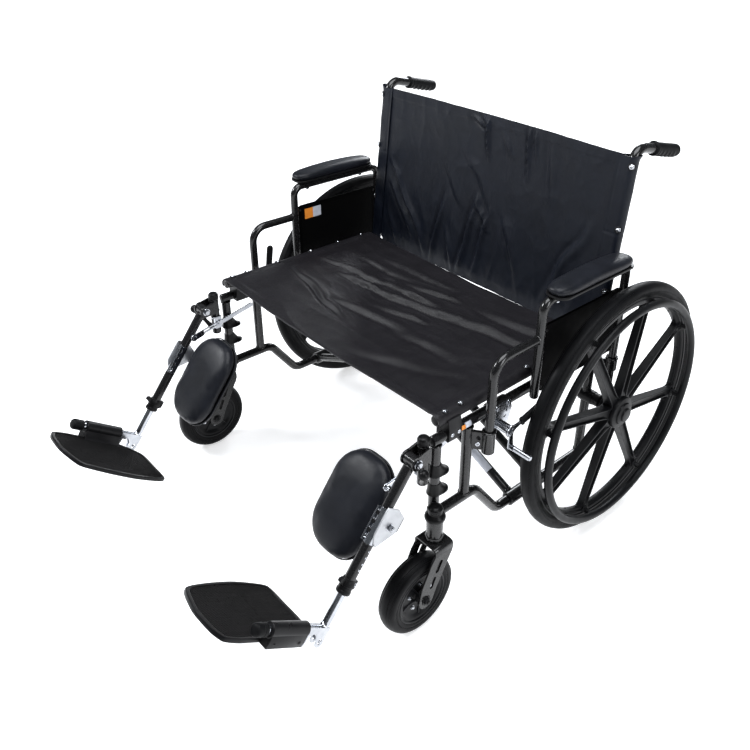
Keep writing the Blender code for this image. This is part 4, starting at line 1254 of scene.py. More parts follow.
def brake_brackets(side, body):
    """The lock's side plate, clamped to the top rail by two bolts."""
    x = FRAME_X + TUBE + 0.0023
    outline = mm(-345, 383, -342, 380, -303, 380, -299.5, 383, -290.5, 416, -296, 436, -342, 436, -345, 433)
    holes = [arc(-0.311, 0.402, 0.0032, 0, 342, 18), slot_loop(-0.305, 0.417, 0.004, 0.0022, 70)]
    parts = [plate(outline, 0.004, side_plane(side, x), holes, 0.0006)]
    middle = -0.3195
    rows = []
    section = mm(0.4, -24.5, 0.4, 24.5, 3, 23.5, 3, -23.5)
    for turn in between(radians(100), radians(-190), 26):
        ray = Vector((SIDES[side] * sin(turn), 0, cos(turn)))
        spot = at(side, FRAME_X, middle, TOP_RAIL_Z)
        rows.append([spot + ray * (TUBE + out) + Y_AXIS * wide for out, wide in section])
    piece(f"{side}_brake_clamp", [grid(rows)], GLOSS, body, bevel=0.0005)
    for y in (-0.337, -0.302):
        parts.append(hex_head(at(side, x + 0.002, y, 0.431), outward(side), 0.0048, 0.0042))
        parts.append(hex_head(at(side, FRAME_X - TUBE - 0.003, y, 0.422), -outward(side), 0.0048, 0.0042))
    flange = block_at(side, (FRAME_X + TUBE + 0.0003, -0.33, 0.377), (LINK_X - 0.007, -0.301, 0.38))
    parts.append(flange)
    pins = (BRAKE_PIVOT, LEVER_X - 0.0038, 0.0042), (SHOE_PIVOT, LINK_X - 0.0023, 0.004)
    for (y, z), reach, radius in pins:
        parts.append(rod(at(side, x, y, z), at(side, reach, y, z), radius, 24))
        parts.append(hex_head(at(side, x - 0.0022, y, z), -outward(side), 0.0055, 0.0045))
    piece(f"{side}_brake_plate", parts, CHROME, body, [f"{side}_brake_bracket"], bevel=0.0004)


def brake_levers(side, body):
    lean = LEVER_LEAN[side]
    direction = Vector((0, sin(lean), cos(lean)))
    across = Vector((0, -cos(lean), sin(lean)))
    pivot = at(side, LEVER_X, *BRAKE_PIVOT)
    plane = frame_of(pivot, direction, across)
    outline = (
        arc(0, 0, 0.0095, 90, 270, 12)
        + mm(8, -8.5, 18, -4.5, 30, -3.8, 45, -3.6)
        + mm(45, 3.6, 30, 3.8, 18, 5.5, 8, 12.5, 3, 12)
    )
    blade = plate(outline, 0.004, plane, [arc(0.008, 0.0045, 0.0022, 0, 340, 12)], 0.0005)
    head = hex_head(pivot + outward(side) * 0.002, outward(side), 0.0058, 0.0042)
    rows = []
    for share in between(0, 1, 40):
        distance = 0.037 + 0.072 * share
        end = 1.0
        if share > 0.86:
            end = max(1 - ((share - 0.86) / 0.14) ** 2.2, 0.02) ** 0.45
        collar = 1.1 if share < 0.06 else 1.0
        ridge = 1.0 - 0.05 * (0.5 + 0.5 * cos(share * 60)) * (0.08 < share < 0.5)
        row = []
        for k in range(24):
            turn = 2 * pi * k / 24
            wide = signed_power(cos(turn), 0.8) * 0.0088 * end * collar * ridge
            deep = signed_power(sin(turn), 0.8) * 0.0054 * end * collar
            row.append(pivot + direction * distance + across * wide + outward(side) * deep)
        rows.append(row)
    piece(f"{side}_brake_lever_blade", [blade, head], CHROME, body, [f"{side}_brake_lever"])
    piece(f"{side}_brake_lever_grip", [grid(rows)], GRIP, body)


def brake_shoes(side, body):
    """The link and the knurled bar that bears on the tyre."""
    reach = WHEEL_RADIUS + 0.006 + SHOE_GAP[side]
    angle = radians(6.7)
    y, z = -reach * cos(angle), WHEEL_RADIUS + reach * sin(angle)
    pivot_y, pivot_z = SHOE_PIVOT
    along = Vector((0, y - pivot_y, z - pivot_z))
    length = along.length
    along.normalize()
    plane = frame_of(at(side, LINK_X, pivot_y, pivot_z), along, Vector((0, -along.z, along.y)))
    outline = (
        arc(0, 0, 0.0072, 90, 270, 10)
        + [(length * 0.35, -0.0052), (length * 0.7, -0.0058)]
        + arc(length, 0, 0.0074, -90, 90, 10)
        + [(length * 0.7, 0.0058), (length * 0.35, 0.0052)]
    )
    link = plate(outline, 0.004, plane, edge=0.0005)
    head = hex_head(at(side, LINK_X + 0.002, pivot_y, pivot_z), outward(side), 0.005, 0.0036)
    rows = []
    stations = 34
    for k in range(stations + 1):
        share = k / stations
        radius = 0.006 - (0.0007 if k % 2 and 0.25 < share < 0.95 else 0.0)
        if share > 0.96:
            radius = 0.0045
        spot = at(side, LINK_X - 0.001 + (0.47 - LINK_X + 0.001) * share, y, z)
        rows.append([spot + (Y_AXIS * u + Z_AXIS * v) * radius for u, v in circle(24)])
    piece(f"{side}_brake_shoe_link", [link, head, grid(rows)], CHROME, body, [f"{side}_brake_shoe"])


# Leg rests.


def leg_rests(side):
    leg_hangers(side, f"{side}_leg_hanger")
    leg_tubes(side, f"{side}_leg_tube")
    ratchet_bars(side, f"{side}_ratchet_bar")
    foot_extensions(side, f"{side}_foot_extension")
    footplates(side, f"{side}_footplate")
    calf_supports(side, f"{side}_calf_support")


def leg_hangers(side, body):
    pin = turned(
        [(0, 0.434), (TUBE - 0.001, 0.434), (TUBE, 0.433), (TUBE, 0.34), (TUBE - 0.0015, 0.3382), (0, 0.3382)],
        Matrix.Translation(at(side, FRAME_X, PIN_Y, 0)),
        40,
    )
    cap = mm(0, 448.8, 5.5, 448.6, 8.8, 447.8, 10.8, 446.2, 11.6, 444, 12.2, 443.4)
    cap += [(0.0124, 0.435), (0.0116, 0.4338), (0, 0.4338)]
    cap_part = turned(cap, Matrix.Translation(at(side, FRAME_X, PIN_Y, 0)), 40)
    outline = [
        (PIN_Y + 0.001, 0.399),
        (PIN_Y + 0.004, 0.402),
        (PIN_Y + 0.004, 0.428),
        (PIN_Y + 0.001, 0.431),
        (LEG_TOP.y + 0.005, 0.426),
        *arc(LEG_TOP.y, LEG_TOP.z, 0.015, 85, 262, 14),
    ]
    plates = [plate(outline, 0.004, side_plane(side, x), edge=0.0007) for x in (LEG_X - 0.015, LEG_X + 0.015)]
    web = block_at(side, (LEG_X - 0.015, PIN_Y - 0.004, 0.403), (LEG_X + 0.015, PIN_Y + 0.004, 0.427))
    lugs = [weld(at(side, FRAME_X, PIN_Y, z), Z_AXIS, TUBE, 0.0013) for z in (0.4, 0.43)]
    piece(f"{side}_hanger_pin_and_plates", [pin, *plates, web, *lugs], PAINT, body, [f"{side}_leg_hanger"])
    piece(f"{side}_hanger_pin_cap", [cap_part], PLASTIC, body)
    bolts = [
        hex_head(on_leg(side, LEG_X + 0.0171, 0), outward(side), 0.0072, 0.006),
        hex_head(on_leg(side, LEG_X - 0.0171, 0), -outward(side), 0.0072, 0.0064),
    ]
    guide = [
        block_at(side, (RATCHET_X + 0.0024, PIN_Y - 0.009, 0.356), (FRAME_X, PIN_Y + 0.009, 0.388)),
        block_at(side, (RATCHET_X + 0.0024, PIN_Y - 0.015, 0.385), (FRAME_X - 0.004, PIN_Y + 0.006, 0.3885)),
    ]
    piece(f"{side}_hanger_bolts", bolts, CHROME, body)
    piece(f"{side}_ratchet_guide", guide, CHROME, body, bevel=0.0012)
    foot, ball = at(side, 0.386, -0.53, 0.352), at(side, 0.414, -0.556, 0.4)
    axis = ball - foot
    length = axis.length
    profile = [(0, 0.0)]
    for k in range(25):
        share = k / 24
        neck = 0.0072 - 0.0026 * sin(pi * share) + 0.0006 * share
        profile.append((neck, length * 0.8 * share))
    for k in range(13):
        turn = radians(-38 + 128 * k / 12)
        profile.append((max(0.0106 * cos(turn), 0.0), length + 0.0106 * sin(turn)))
    profile[-1] = (0, profile[-1][1])
    knob = turned(profile, turned_along(foot, axis), 36)
    piece(f"{side}_release_knob", [knob], PLASTIC, body)


def leg_tubes(side, body):
    across = outward(side)
    hinge = turned(
        mm(0, 12.7, 10.8, 12.7, 12.4, 11.8, 12.4, -11.8, 10.8, -12.7, 0, -12.7),
        turned_along(on_leg(side, LEG_X, 0), across),
        40,
    )
    joint = weld(on_leg(side, LEG_X, 0.012), LEG_DOWN, 0.0108, 0.0013)
    upper = rod(on_leg(side, LEG_X, 0.006), on_leg(side, LEG_X, 0.1), TUBE - SKIN, 32)
    lower = rod(on_leg(side, LEG_X, 0.172), on_leg(side, LEG_X, COLLAR_AT - 0.018), TUBE - SKIN, 32)
    piece(f"{side}_leg_column", [hinge, joint, upper, lower], PAINT, body, [f"{side}_leg_tube"])
    sleeve = rod(on_leg(side, LEG_X, 0.099), on_leg(side, LEG_X, 0.173), TUBE - 0.0004, 32)
    shelf = plate(
        mm(-5, 99, 13.5, 101, 13.5, 170, -5, 173),
        0.003,
        leg_side_plane(side, LEG_X - 0.0098),
        [slot_loop(0.009, down, 0.0022, 0.0024, 90) for down in (0.112, 0.13, 0.148, 0.163)],
        0.0004,
    )
    piece(f"{side}_leg_bright_sleeve", [sleeve, shelf], CHROME, body)
    notches, pins = [], []
    for down in (0.113, 0.131, 0.149):
        spot = frame_of(on_leg(side, LEG_X - 0.006, down, 0.0086), X_AXIS, LEG_TOES)
        notches.append(block((0.0075, 0.0062, 0.007), spot))
    for down in (0.185, 0.198, 0.211, 0.224):
        face, end = (on_leg(side, LEG_X + out, down) for out in (0.01, 0.0112))
        pins.append(rod(face, end, 0.002, 16, 0.0003))
    piece(f"{side}_sleeve_notches", notches, PLASTIC, body, bevel=0.001)
    piece(f"{side}_height_holes", pins, CHROME, body)
    profile = mm(
        9, 11, 13.2, 11, 14.6, 9.6, 14.6, 4, 13.6, 3, 13.6, -5, 14.6, -6, 14.6, -13, 13.4, -15,
        12.4, -19, 10.6, -19.6,
    )
    collar = turned(profile, turned_along(on_leg(side, LEG_X, COLLAR_AT), LEG_DOWN), 40, ring=True)
    ear = plate(
        mm(10, 248, 20, 244, 26.2, 247, 26.2, 253, 20, 256, 10, 262),
        0.008,
        leg_side_plane(side, LEG_X),
        edge=0.0012,
    )
    clamp = plate(
        mm(-10, 246, -21.5, 248, -21.5, 264, -10, 270),
        0.012,
        leg_side_plane(side, LEG_X),
        edge=0.0016,
    )
    piece(f"{side}_leg_collar", [collar, ear, clamp], PLASTIC, body)
    screw = screw_head(on_leg(side, LEG_X + 0.006, 0.256, -0.016), across, 0.0028, 18)
    piece(f"{side}_collar_screw", [screw], CHROME, body)


def ratchet_bars(side, body):
    """A toothed bar with a short cheek plate beside it, riveted at the leg tube."""
    knuckle = LEG_TOP + LEG_DOWN * RATCHET_AT
    guide = Vector((0, PIN_Y, 0.372))
    along = (guide - knuckle).normalized()
    square = Vector((0, -along.z, along.y))
    origin = at(side, RATCHET_X, knuckle.y, knuckle.z)
    plane = frame_of(origin, along, square)
    teeth = []
    for k in range(12):
        start = 0.152 - k * 0.0075
        teeth += [(start, 0.0058), (start - 0.0026, 0.004), (start - 0.004, 0.0058)]
    outline = arc(0, 0, 0.006, 90, 270, 10) + [(0.166, -0.006)] + arc(0.166, 0, 0.006, -90, 90, 8) + teeth
    slot = slot_loop(0.045, 0.0005, 0.026, 0.0018, 0)
    bar = plate(outline, 0.003, plane, [slot], 0.0004)
    boss = rod(origin, at(side, LEG_X - TUBE - 0.0003, knuckle.y, knuckle.z), 0.005, 24)
    rivet = hex_head(origin - outward(side) * 0.0015, -outward(side), 0.0055, 0.004)
    cheek = plate(
        arc(0, 0, 0.009, 60, 300, 12) + mm(24, -7, 27, -4, 27, 4, 24, 7),
        0.0026,
        frame_of(origin - outward(side) * 0.003, along, square),
        edge=0.0004,
    )
    piece(f"{side}_ratchet_plate", [bar, boss, rivet, cheek], CHROME, body, [f"{side}_ratchet_bar"])


def foot_extensions(side, body):
    """The sliding tube, bent forward into the footplate's pin, with a bracket under the bend."""
    route = [on_leg(side, LEG_X, 0.18), on_leg(side, LEG_X, FOOT_AT), on_leg(side, LEG_X, FOOT_AT, 0.047)]
    post = sweep(rounded(route, 0.014, 10), 0.0083, 32)
    outline = (
        mm(48, 344, 48, 380, 44, 384, 41, 380, 39, 360)
        + arc(0.026, 0.364, 0.007, -30, -150, 6)
        + [(0.012, 0.372)]
        + arc(0.002, 0.376, 0.01, 0, 180, 10)
        + [(-0.009, 0.344)]
    )
    hole = [(0.0018 + 0.0042 * cos(t), 0.3735 + 0.0062 * sin(t)) for t in between(0.0, 2 * pi, 20)[:-1]]
    planes = [leg_side_plane(side, LEG_X + shift) for shift in (-0.0072, 0.0072)]
    cheeks = [plate(outline, 0.0026, plane, [hole], 0.0005) for plane in planes]
    rivet = rod(*(on_leg(side, LEG_X + out, 0.3735, 0.0018) for out in (-0.01, 0.01)), 0.003, 20)
    pin = rod(on_leg(side, LEG_X, FOOT_AT, 0.046), on_leg(side, LEG_X, FOOT_AT, 0.166), 0.006, 28)
    washer = rod(on_leg(side, LEG_X, FOOT_AT, 0.142), on_leg(side, LEG_X, FOOT_AT, 0.1495), 0.0088, 28)
    piece(f"{side}_foot_post", [post, *cheeks, rivet, pin, washer], CHROME, body, [f"{side}_foot_extension"])
    profile = mm(
        0, 26, 7, 25.8, 10, 24.8, 11.8, 22.6, 12.4, 20, 12.4, 11, 11.8, 10.2, 11.8, 8.2, 12.4, 7.4,
        12.5, 1, 11.8, 0, 0, 0,
    )
    cap = turned(profile, turned_along(on_leg(side, LEG_X, FOOT_AT, 0.15), LEG_TOES), 36)
    piece(f"{side}_foot_pin_cap", [cap], GRIP, body)


def footplate_outline(inset=0.0):
    """The plate's smooth edge in (x, toes), drawn in from its corner points by an inset."""
    corners = mm(
        212, -1, 202, 45, 200, 90, 207, 150, 224, 212, 285, 232, 340, 230, 365.5, 219, 372, 190,
        372, 160, 368, 52, 330, -2, 270, -4.5,
    )
    middle = Vector((0.286, 0.112))
    points = [Vector(corner) for corner in corners]
    count = len(points)
    loop = []
    for k in range(count):
        before, here, after, later = (points[(k + step) % count] for step in (-1, 0, 1, 2))
        for step in range(5):
            t = step / 5
            tight = 0.3
            m1, m2 = (after - before) * tight, (later - here) * tight
            spot = (
                here * (2 * t**3 - 3 * t**2 + 1)
                + m1 * (t**3 - 2 * t**2 + t)
                + after * (3 * t**2 - 2 * t**3)
                + m2 * (t**3 - t**2)
            )
            loop.append(spot)
    return [spot + (middle - spot).normalized() * inset for spot in loop]


def footplates(side, body):
    plane = across_leg(side, PLATE_AT)
    sign = SIDES[side]

    def drawn(loop):
        return [(sign * spot.x, spot.y) for spot in loop]

    outer, inner = footplate_outline(0.0006), footplate_outline(0.0085)
    rim = plate(drawn(outer), 0.0088, plane, [drawn(inner)], 0.0016)
    up = Z_AXIS if (plane.to_3x3() @ Z_AXIS).z > 0 else -Z_AXIS
    floor_plane = plane @ Matrix.Translation(-0.001 * up)
    floor = plate(drawn(footplate_outline(0.008)), 0.0064, floor_plane, edge=0.0003)
    ribs = []
    loop = footplate_outline(0.0095)
    pitch, level = 0.0033, 0.0022
    for number in range(int(0.232 / pitch)):
        toes = 0.006 + number * pitch
        crossings = []
        for a, b in zip(loop, loop[1:] + loop[:1]):
            if (a.y - toes) * (b.y - toes) < 0:
                crossings.append(a.x + (b.x - a.x) * (toes - a.y) / (b.y - a.y))
        if len(crossings) < 2:
            continue
        low, high = min(crossings) + 0.0008, max(crossings) - 0.0008
        if high - low < 0.01:
            continue
        rows = []
        for x in (low, high):
            section = mm(-1.1, 0, -0.5, 0.75, 0.5, 0.75, 1.1, 0)
            rows.append([plane @ (Vector((sign * x, toes + w, 0)) + up * (level + h)) for w, h in section])
        ribs.append(grid(rows))
    hinge = turned(
        mm(6.5, 46.3, 12.8, 46.3, 14, 45.3, 14, -45.3, 12.8, -46.3, 6.5, -46.3),
        turned_along(on_leg(side, LEG_X, FOOT_AT, 0.0952), LEG_TOES),
        44,
        ring=True,
    )
    skirt_outline = mm(
        390.5, 352, 391.8, 356, 391.8, 370, 389.5, 380, 356, 380, 350, 376, 360, 369, 365, 356,
        370, 348,
    )
    skirt_plane = frame_of(on_leg(side, 0, 0, 0.0952), Vector((sign, 0, 0)), LEG_DOWN)
    skirt = plate(skirt_outline, 0.09, skirt_plane, edge=0.0012)
    parts = [rim, floor, hinge, skirt]
    piece(f"{side}_footplate_body", parts, PLASTIC, body, [f"{side}_footplate"], sharp=38)
    piece(f"{side}_footplate_ribs", ribs, RIBBED, body, sharp=60)
    spots = [on_leg(side, LEG_X + 0.013, 0.369, toes) for toes in (0.064, 0.126)]
    bolts = [screw_head(spot, outward(side), 0.0024, 16) for spot in spots]
    piece(f"{side}_footplate_screws", bolts, PLASTIC, body)


def calf_supports(side, body):
    outline = mm(
        12, 93, 14, 96, 14, 148, 12, 153, -2, 172, -6, 173, -42, 140, -45.5, 136, -45.5, 110, -43, 106,
        -18, 93,
    )
    cheek_x = LEG_X + TUBE + 0.0022
    cheek = plate(outline, 0.003, leg_side_plane(side, cheek_x), edge=0.0006)
    arm_plane = across_leg(side, 0.123) @ Matrix.Translation((SIDES[side] * (cheek_x - 0.0445), -0.044, 0))
    arm = block((0.092, 0.003, 0.03), arm_plane)
    piece(f"{side}_calf_plate", [cheek, arm], ZINC, body, [f"{side}_calf_bracket"], bevel=0.0006)
    bolt = hex_head(on_leg(side, cheek_x + 0.0016, 0.13, -0.016), outward(side), 0.0062, 0.0085)
    stud = rod(on_leg(side, cheek_x, 0.13, -0.016), on_leg(side, cheek_x + 0.012, 0.13, -0.016), 0.0034, 20)
    inner = [
        hex_head(on_leg(side, x, down, -0.0457), -LEG_TOES, 0.005, 0.004)
        for x in (0.302, 0.34)
        for down in (0.115, 0.131)
    ]
    piece(f"{side}_calf_bolts", [bolt, stud, *inner], CHROME, body)
    calf_pads(side, body)


def pad_rows(side, rings):
    """A stack of rounded outlines about the calf pad's centre, given as (inset, height towards the toes)."""
    half_x, half_z, radius = 0.0742, 0.1066, 0.062
    outline = rounded_outline(-half_x, -half_z, half_x, half_z, radius, 10)
    centre = on_leg(side, 0.2815, 0.143)
    rows = []
    for inset, height in rings:
        row = []
        for u, v in outline:
            spot = Vector((u, v))
            spot -= spot.normalized() * inset * (spot.length / 0.099) ** 0.5
            row.append(centre + X_AXIS * spot.x - LEG_DOWN * spot.y + LEG_TOES * height)
        rows.append(row)
    return rows


def calf_pads(side, body):
    cushion_rings = mm(
        30, -35.6, 8, -35.6, 3, -35.2, 1.4, -33, 1.2, -29, 1.4, -24, 2.8, -19, 5.8, -14.8, 11, -11.6,
        19, -9.4, 30, -8, 44, -7.2, 60, -6.8,
    )
    skin = grid(pad_rows(side, cushion_rings))
    pad = piece(f"{side}_calf_pad_skin", [skin], VINYL, body, [f"{side}_calf_pad"], sharp=80)
    plump(pad, 0.0045)
    shell_rings = mm(40, -41.8, 6, -41.8, 3.4, -40.6, 2.8, -36.4, 6, -35.2, 40, -35.2)
    shell = grid(pad_rows(side, shell_rings))
    piping_rings = mm(1, -35.2, 0.1, -34.4, -0.3, -33.2, 0.2, -32, 1.4, -31.6, 2.4, -32.6)
    piping_rows = pad_rows(side, piping_rings)
    piping = grid(piping_rows + piping_rows[:1], caps=False)
    piece(f"{side}_calf_pad_shell", [shell], PLASTIC, body, sharp=30)
    piece(f"{side}_calf_pad_seam", [piping], VINYL, body, sharp=80)


# Cross brace and seat rails.

BRACE_Y = {"brace_a": (-0.24, -0.155), "brace_b": (-0.216, -0.179)}
BRACE_SLOPE = (SEAT_RAIL_Z - LOW_RAIL_Z) / (FRAME_X + SEAT_RAIL_X)
BRACE_CROSSING = Vector((0, AXLE_Y - 0.1975, LOW_RAIL_Z + FRAME_X * BRACE_SLOPE))


def cross_braces():
    for name, low_side in (("brace_a", "left"), ("brace_b", "right")):
        high_side = "right" if low_side == "left" else "left"
        ys = BRACE_Y[name]
        margin = 0.016 if name == "brace_a" else 0.0115
        axis_matrix = turned_along(at(low_side, FRAME_X, min(ys) - margin, LOW_RAIL_Z), Y_AXIS)
        length = max(ys) - min(ys) + 2 * margin
        sleeve = turned(
            [
                (0.0116, 0.0003),
                (0.0146, 0.0003),
                (0.0155, 0.0014),
                (0.0155, length - 0.0014),
                (0.0146, length - 0.0003),
                (0.0116, length - 0.0003),
            ],
            axis_matrix,
            44,
            ring=True,
        )
        parts = [sleeve]
        for y in ys:
            low = at(low_side, FRAME_X, y, LOW_RAIL_Z)
            high = at(high_side, SEAT_RAIL_X, y, SEAT_RAIL_Z)
            along = (high - low).normalized()
            parts.append(rod(low + along * 0.012, high - along * 0.01, 0.0104, 32))
            parts.append(weld(low + along * 0.0172, along, 0.0102, 0.0015))
            parts.append(weld(high - along * 0.0118, along, 0.0102, 0.0015))
        piece(f"{name}_tubes", parts, GLOSS, name, [name])
    rear = 0.0515
    spot = BRACE_CROSSING
    bolts = [
        rod(spot - Y_AXIS * rear, spot + Y_AXIS * rear, 0.004, 24),
        hex_head(spot + Y_AXIS * (rear - 0.001), Y_AXIS, 0.008, 0.0065),
        hex_head(spot - Y_AXIS * (rear - 0.001), -Y_AXIS, 0.008, 0.0065),
    ]
    for y in (-0.228, -0.167):
        bolts.append(
            turned(
                mm(4.2, 1.3, 8.5, 1.3, 8.5, -1.3, 4.2, -1.3),
                turned_along(Vector((0, y + AXLE_Y, spot.z)), Y_AXIS),
                28,
                ring=True,
            )
        )
    piece("brace_pivot_bolt", bolts, CHROME, "brace_a")
    foot = at("left", FRAME_X, BRACE_Y["brace_a"][0], LOW_RAIL_Z)
    along = (at("right", SEAT_RAIL_X, BRACE_Y["brace_a"][0], SEAT_RAIL_Z) - foot).normalized()
    rise = along.cross(Y_AXIS)
    rise *= 1 if rise.z > 0 else -1
    sticker("brace_plain_label", foot + along * 0.075, along * 0.06, rise, 0.01062, (-15, 95), LABEL, "brace_a")


def sticker(name, start, run, rise, radius, turns, paint, body):
    """A label wrapped round the front of a tube; turns are measured from -Y towards the rise."""
    front = rise.cross(run.normalized())
    front *= 1 if front.y < 0 or front.x > 0.5 else -1
    rows = []
    for share in (0.0, 0.5, 1.0):
        steps = [radians(turns[0] + (turns[1] - turns[0]) * k / 12) for k in range(13)]
        rows.append([start + run * share + (front * cos(t) + rise * sin(t)) * radius for t in steps])
    made = piece(name, [grid(rows, wrap=False, caps=False)], paint, body)
    solid = made.modifiers.new("film", "SOLIDIFY")
    solid.thickness = 0.0002
    solid.offset = 1


def seat_rails(side, body):
    front, rear = -0.489, -0.027
    rail = rod(*(at(side, SEAT_RAIL_X, y, SEAT_RAIL_Z) for y in (front, rear)), TUBE - SKIN, 32)
    piece(f"{side}_seat_rail_tube", [rail], PAINT, body, [f"{side}_seat_rail"])
    ends = []
    for y, way in ((front, -1), (rear, 1)):
        profile = mm(0, 0.9, 7, 0.7, 9.8, -0.4, 10.8, -2.4, 10.8, -6, 0, -6)
        ends.append(turned(profile, turned_along(at(side, SEAT_RAIL_X, y, SEAT_RAIL_Z), Y_AXIS * way), 32))
    piece(f"{side}_seat_rail_ends", ends, PLASTIC, body)


# Slings.


def creases(*values):
    """Folds given in millimetres, six numbers each: the start, the end, the width and the height."""
    sixes = [[value / 1000 for value in values[k : k + 6]] for k in range(0, len(values), 6)]
    return [(six[:2], six[2:4], *six[4:]) for six in sixes]


SEAT_FOLDS = creases(
    -305, -318, -30, -378, 10, 7, -155, -338, 76, -309, 12, 6, 60, -312, 258, -313, 15, 4,
    -312, -226, -96, -196, 9, 6.5, -96, -196, 60, -178, 8, 6, -218, -252, -41, -231, 8.5, 7,
    -60, -235, 130, -186, 10, 7, 100, -192, 335, -156, 15, 7, -30, -282, 90, -252, 9, 5,
    150, -112, 330, -104, 14, 5.5, 40, -455, 290, -358, 18, 3, -250, -150, -80, -135, 9, 4.5,
    -200, -100, 20, -85, 10, 3.6, -60, -150, 80, -130, 8, 5,
)
BACK_FOLDS = creases(
    -335, 690, -185, 500, 7.5, 7.5, -335, 640, -235, 520, 8, 5, -345, 590, -285, 490, 9, 3.5,
    -118, 640, -150, 490, 8.5, 6.8, -105, 560, -75, 488, 7, 5, -130, 720, -60, 640, 12, 3,
    -20, 660, -55, 484, 9.5, 7.5, -18, 655, 30, 600, 8, 4, 30, 650, 0, 500, 8.5, 5,
    80, 640, 130, 530, 11, 3.6, -18, 864, 2, 770, 5, 6.6, -60, 852, -12, 836, 5.5, 4,
    -34, 866, -12, 838, 5.5, 4, 110, 866, 120, 750, 5.5, 5.6, 128, 862, 140, 800, 5, 3.4,
    40, 830, 62, 790, 7, 3.2, 180, 850, 205, 700, 13, 3, 320, 700, 220, 510, 13, 4,
    -60, 760, 30, 660, 14, 3,
)
BACK_LOW_Z = 0.4745
HEM_DROOP = 0.024
SEAT_WRAP = 0.0127
BACK_WRAP = 0.0127
SCREW_YS = (-0.466, -0.424, -0.334, -0.23, -0.14, -0.06)
SCREW_ZS = (0.847, 0.714, 0.574)


def folded(u, v, folds):
    """How far the folds lift the cloth at a point: a soft ridge with a tighter valley beside it."""
    lift = 0.0
    spot = Vector((u, v))
    spot += Vector([noise.noise(Vector((u * 11, v * 11, seed))) for seed in (3.1, 8.7)]) * 0.011
    for start, end, width, height in folds:
        start, along = Vector(start), Vector(end) - Vector(start)
        share = (spot - start).dot(along) / along.length_squared
        beside = (spot - start).cross(along) / along.length
        beyond = max(-share, share - 1.0, 0.0) * along.length
        inside = min(max(share, 0.0), 1.0)
        strength = 1.2 * height * (0.35 + 0.65 * sin(pi * inside)) * exp(-((beyond / (width * 1.6)) ** 2))
        lift += strength * exp(-((beside / width) ** 2))
        lift -= strength * 0.8 * exp(-(((beside - width * 1.25) / (width * 0.6)) ** 2))
    return lift


def crumpled(u, v, scale, seed):
    """Sharp-crested creases."""
    first = 1 - abs(noise.noise(Vector((u * scale, v * scale, seed)))) * 2.4
    second = 1 - abs(noise.noise(Vector((u * scale * 2.1, v * scale * 2.1, seed + 5)))) * 2.4
    return max(first, 0.0) ** 2 + 0.4 * max(second, 0.0) ** 2


def woven(name, rows, layout, paint, thickness=0.0012):
    """A sheet of cloth through rows of points, its weave laid out flat in metres."""
    made = mesh_object(name, grid(rows, wrap=False, caps=False), paint)
    mesh = made.data
    flat = [spot for row in layout for spot in row]
    cloth = mesh.uv_layers.new(name="cloth")
    for loop in mesh.loops:
        cloth.data[loop.index].uv = flat[loop.vertex_index]
    mesh.shade_smooth()
    solid = made.modifiers.new("thickness", "SOLIDIFY")
    solid.thickness = thickness
    solid.offset = 0
    final = evaluated_mesh(made)
    made.modifiers.clear()
    made.data = final
    final.set_sharp_from_angle(angle=radians(60))
    return made


def sling_screws(name, spots, lean, body):
    """Screws through a sling into its tube, each on a plastic washer."""
    washer = mm(0, 0.9, 7.2, 0.9, 7.8, 0.2, 7.8, -0.4, 0, -0.4)
    screws = [screw_head(spot + lean * 0.0006, lean, 0.0034, 24) for spot in spots]
    washers = [turned(washer, turned_along(spot, lean), 28) for spot in spots]
    piece(f"{name}_screws", screws, CHROME, body)
    piece(f"{name}_screw_washers", washers, PLASTIC, body)


def seat_section():
    """The seat's cross-section in (x, z), and the distance along the cloth from its first wrapped edge."""
    half = arc(SEAT_RAIL_X, SEAT_RAIL_Z, SEAT_WRAP, -35, 96, 16)
    edge_x, edge_z = half[-1]
    across = [(x, edge_z - 0.009 * (1 - (x / edge_x) ** 2)) for x in between(edge_x, -edge_x, 190)]
    path = half + across[1:-1] + [(-x, z) for x, z in reversed(half)]
    distance, travelled = [0.0], 0.0
    for (x0, z0), (x1, z1) in zip(path, path[1:]):
        travelled += ((x1 - x0) ** 2 + (z1 - z0) ** 2) ** 0.5
        distance.append(travelled)
    return path, distance


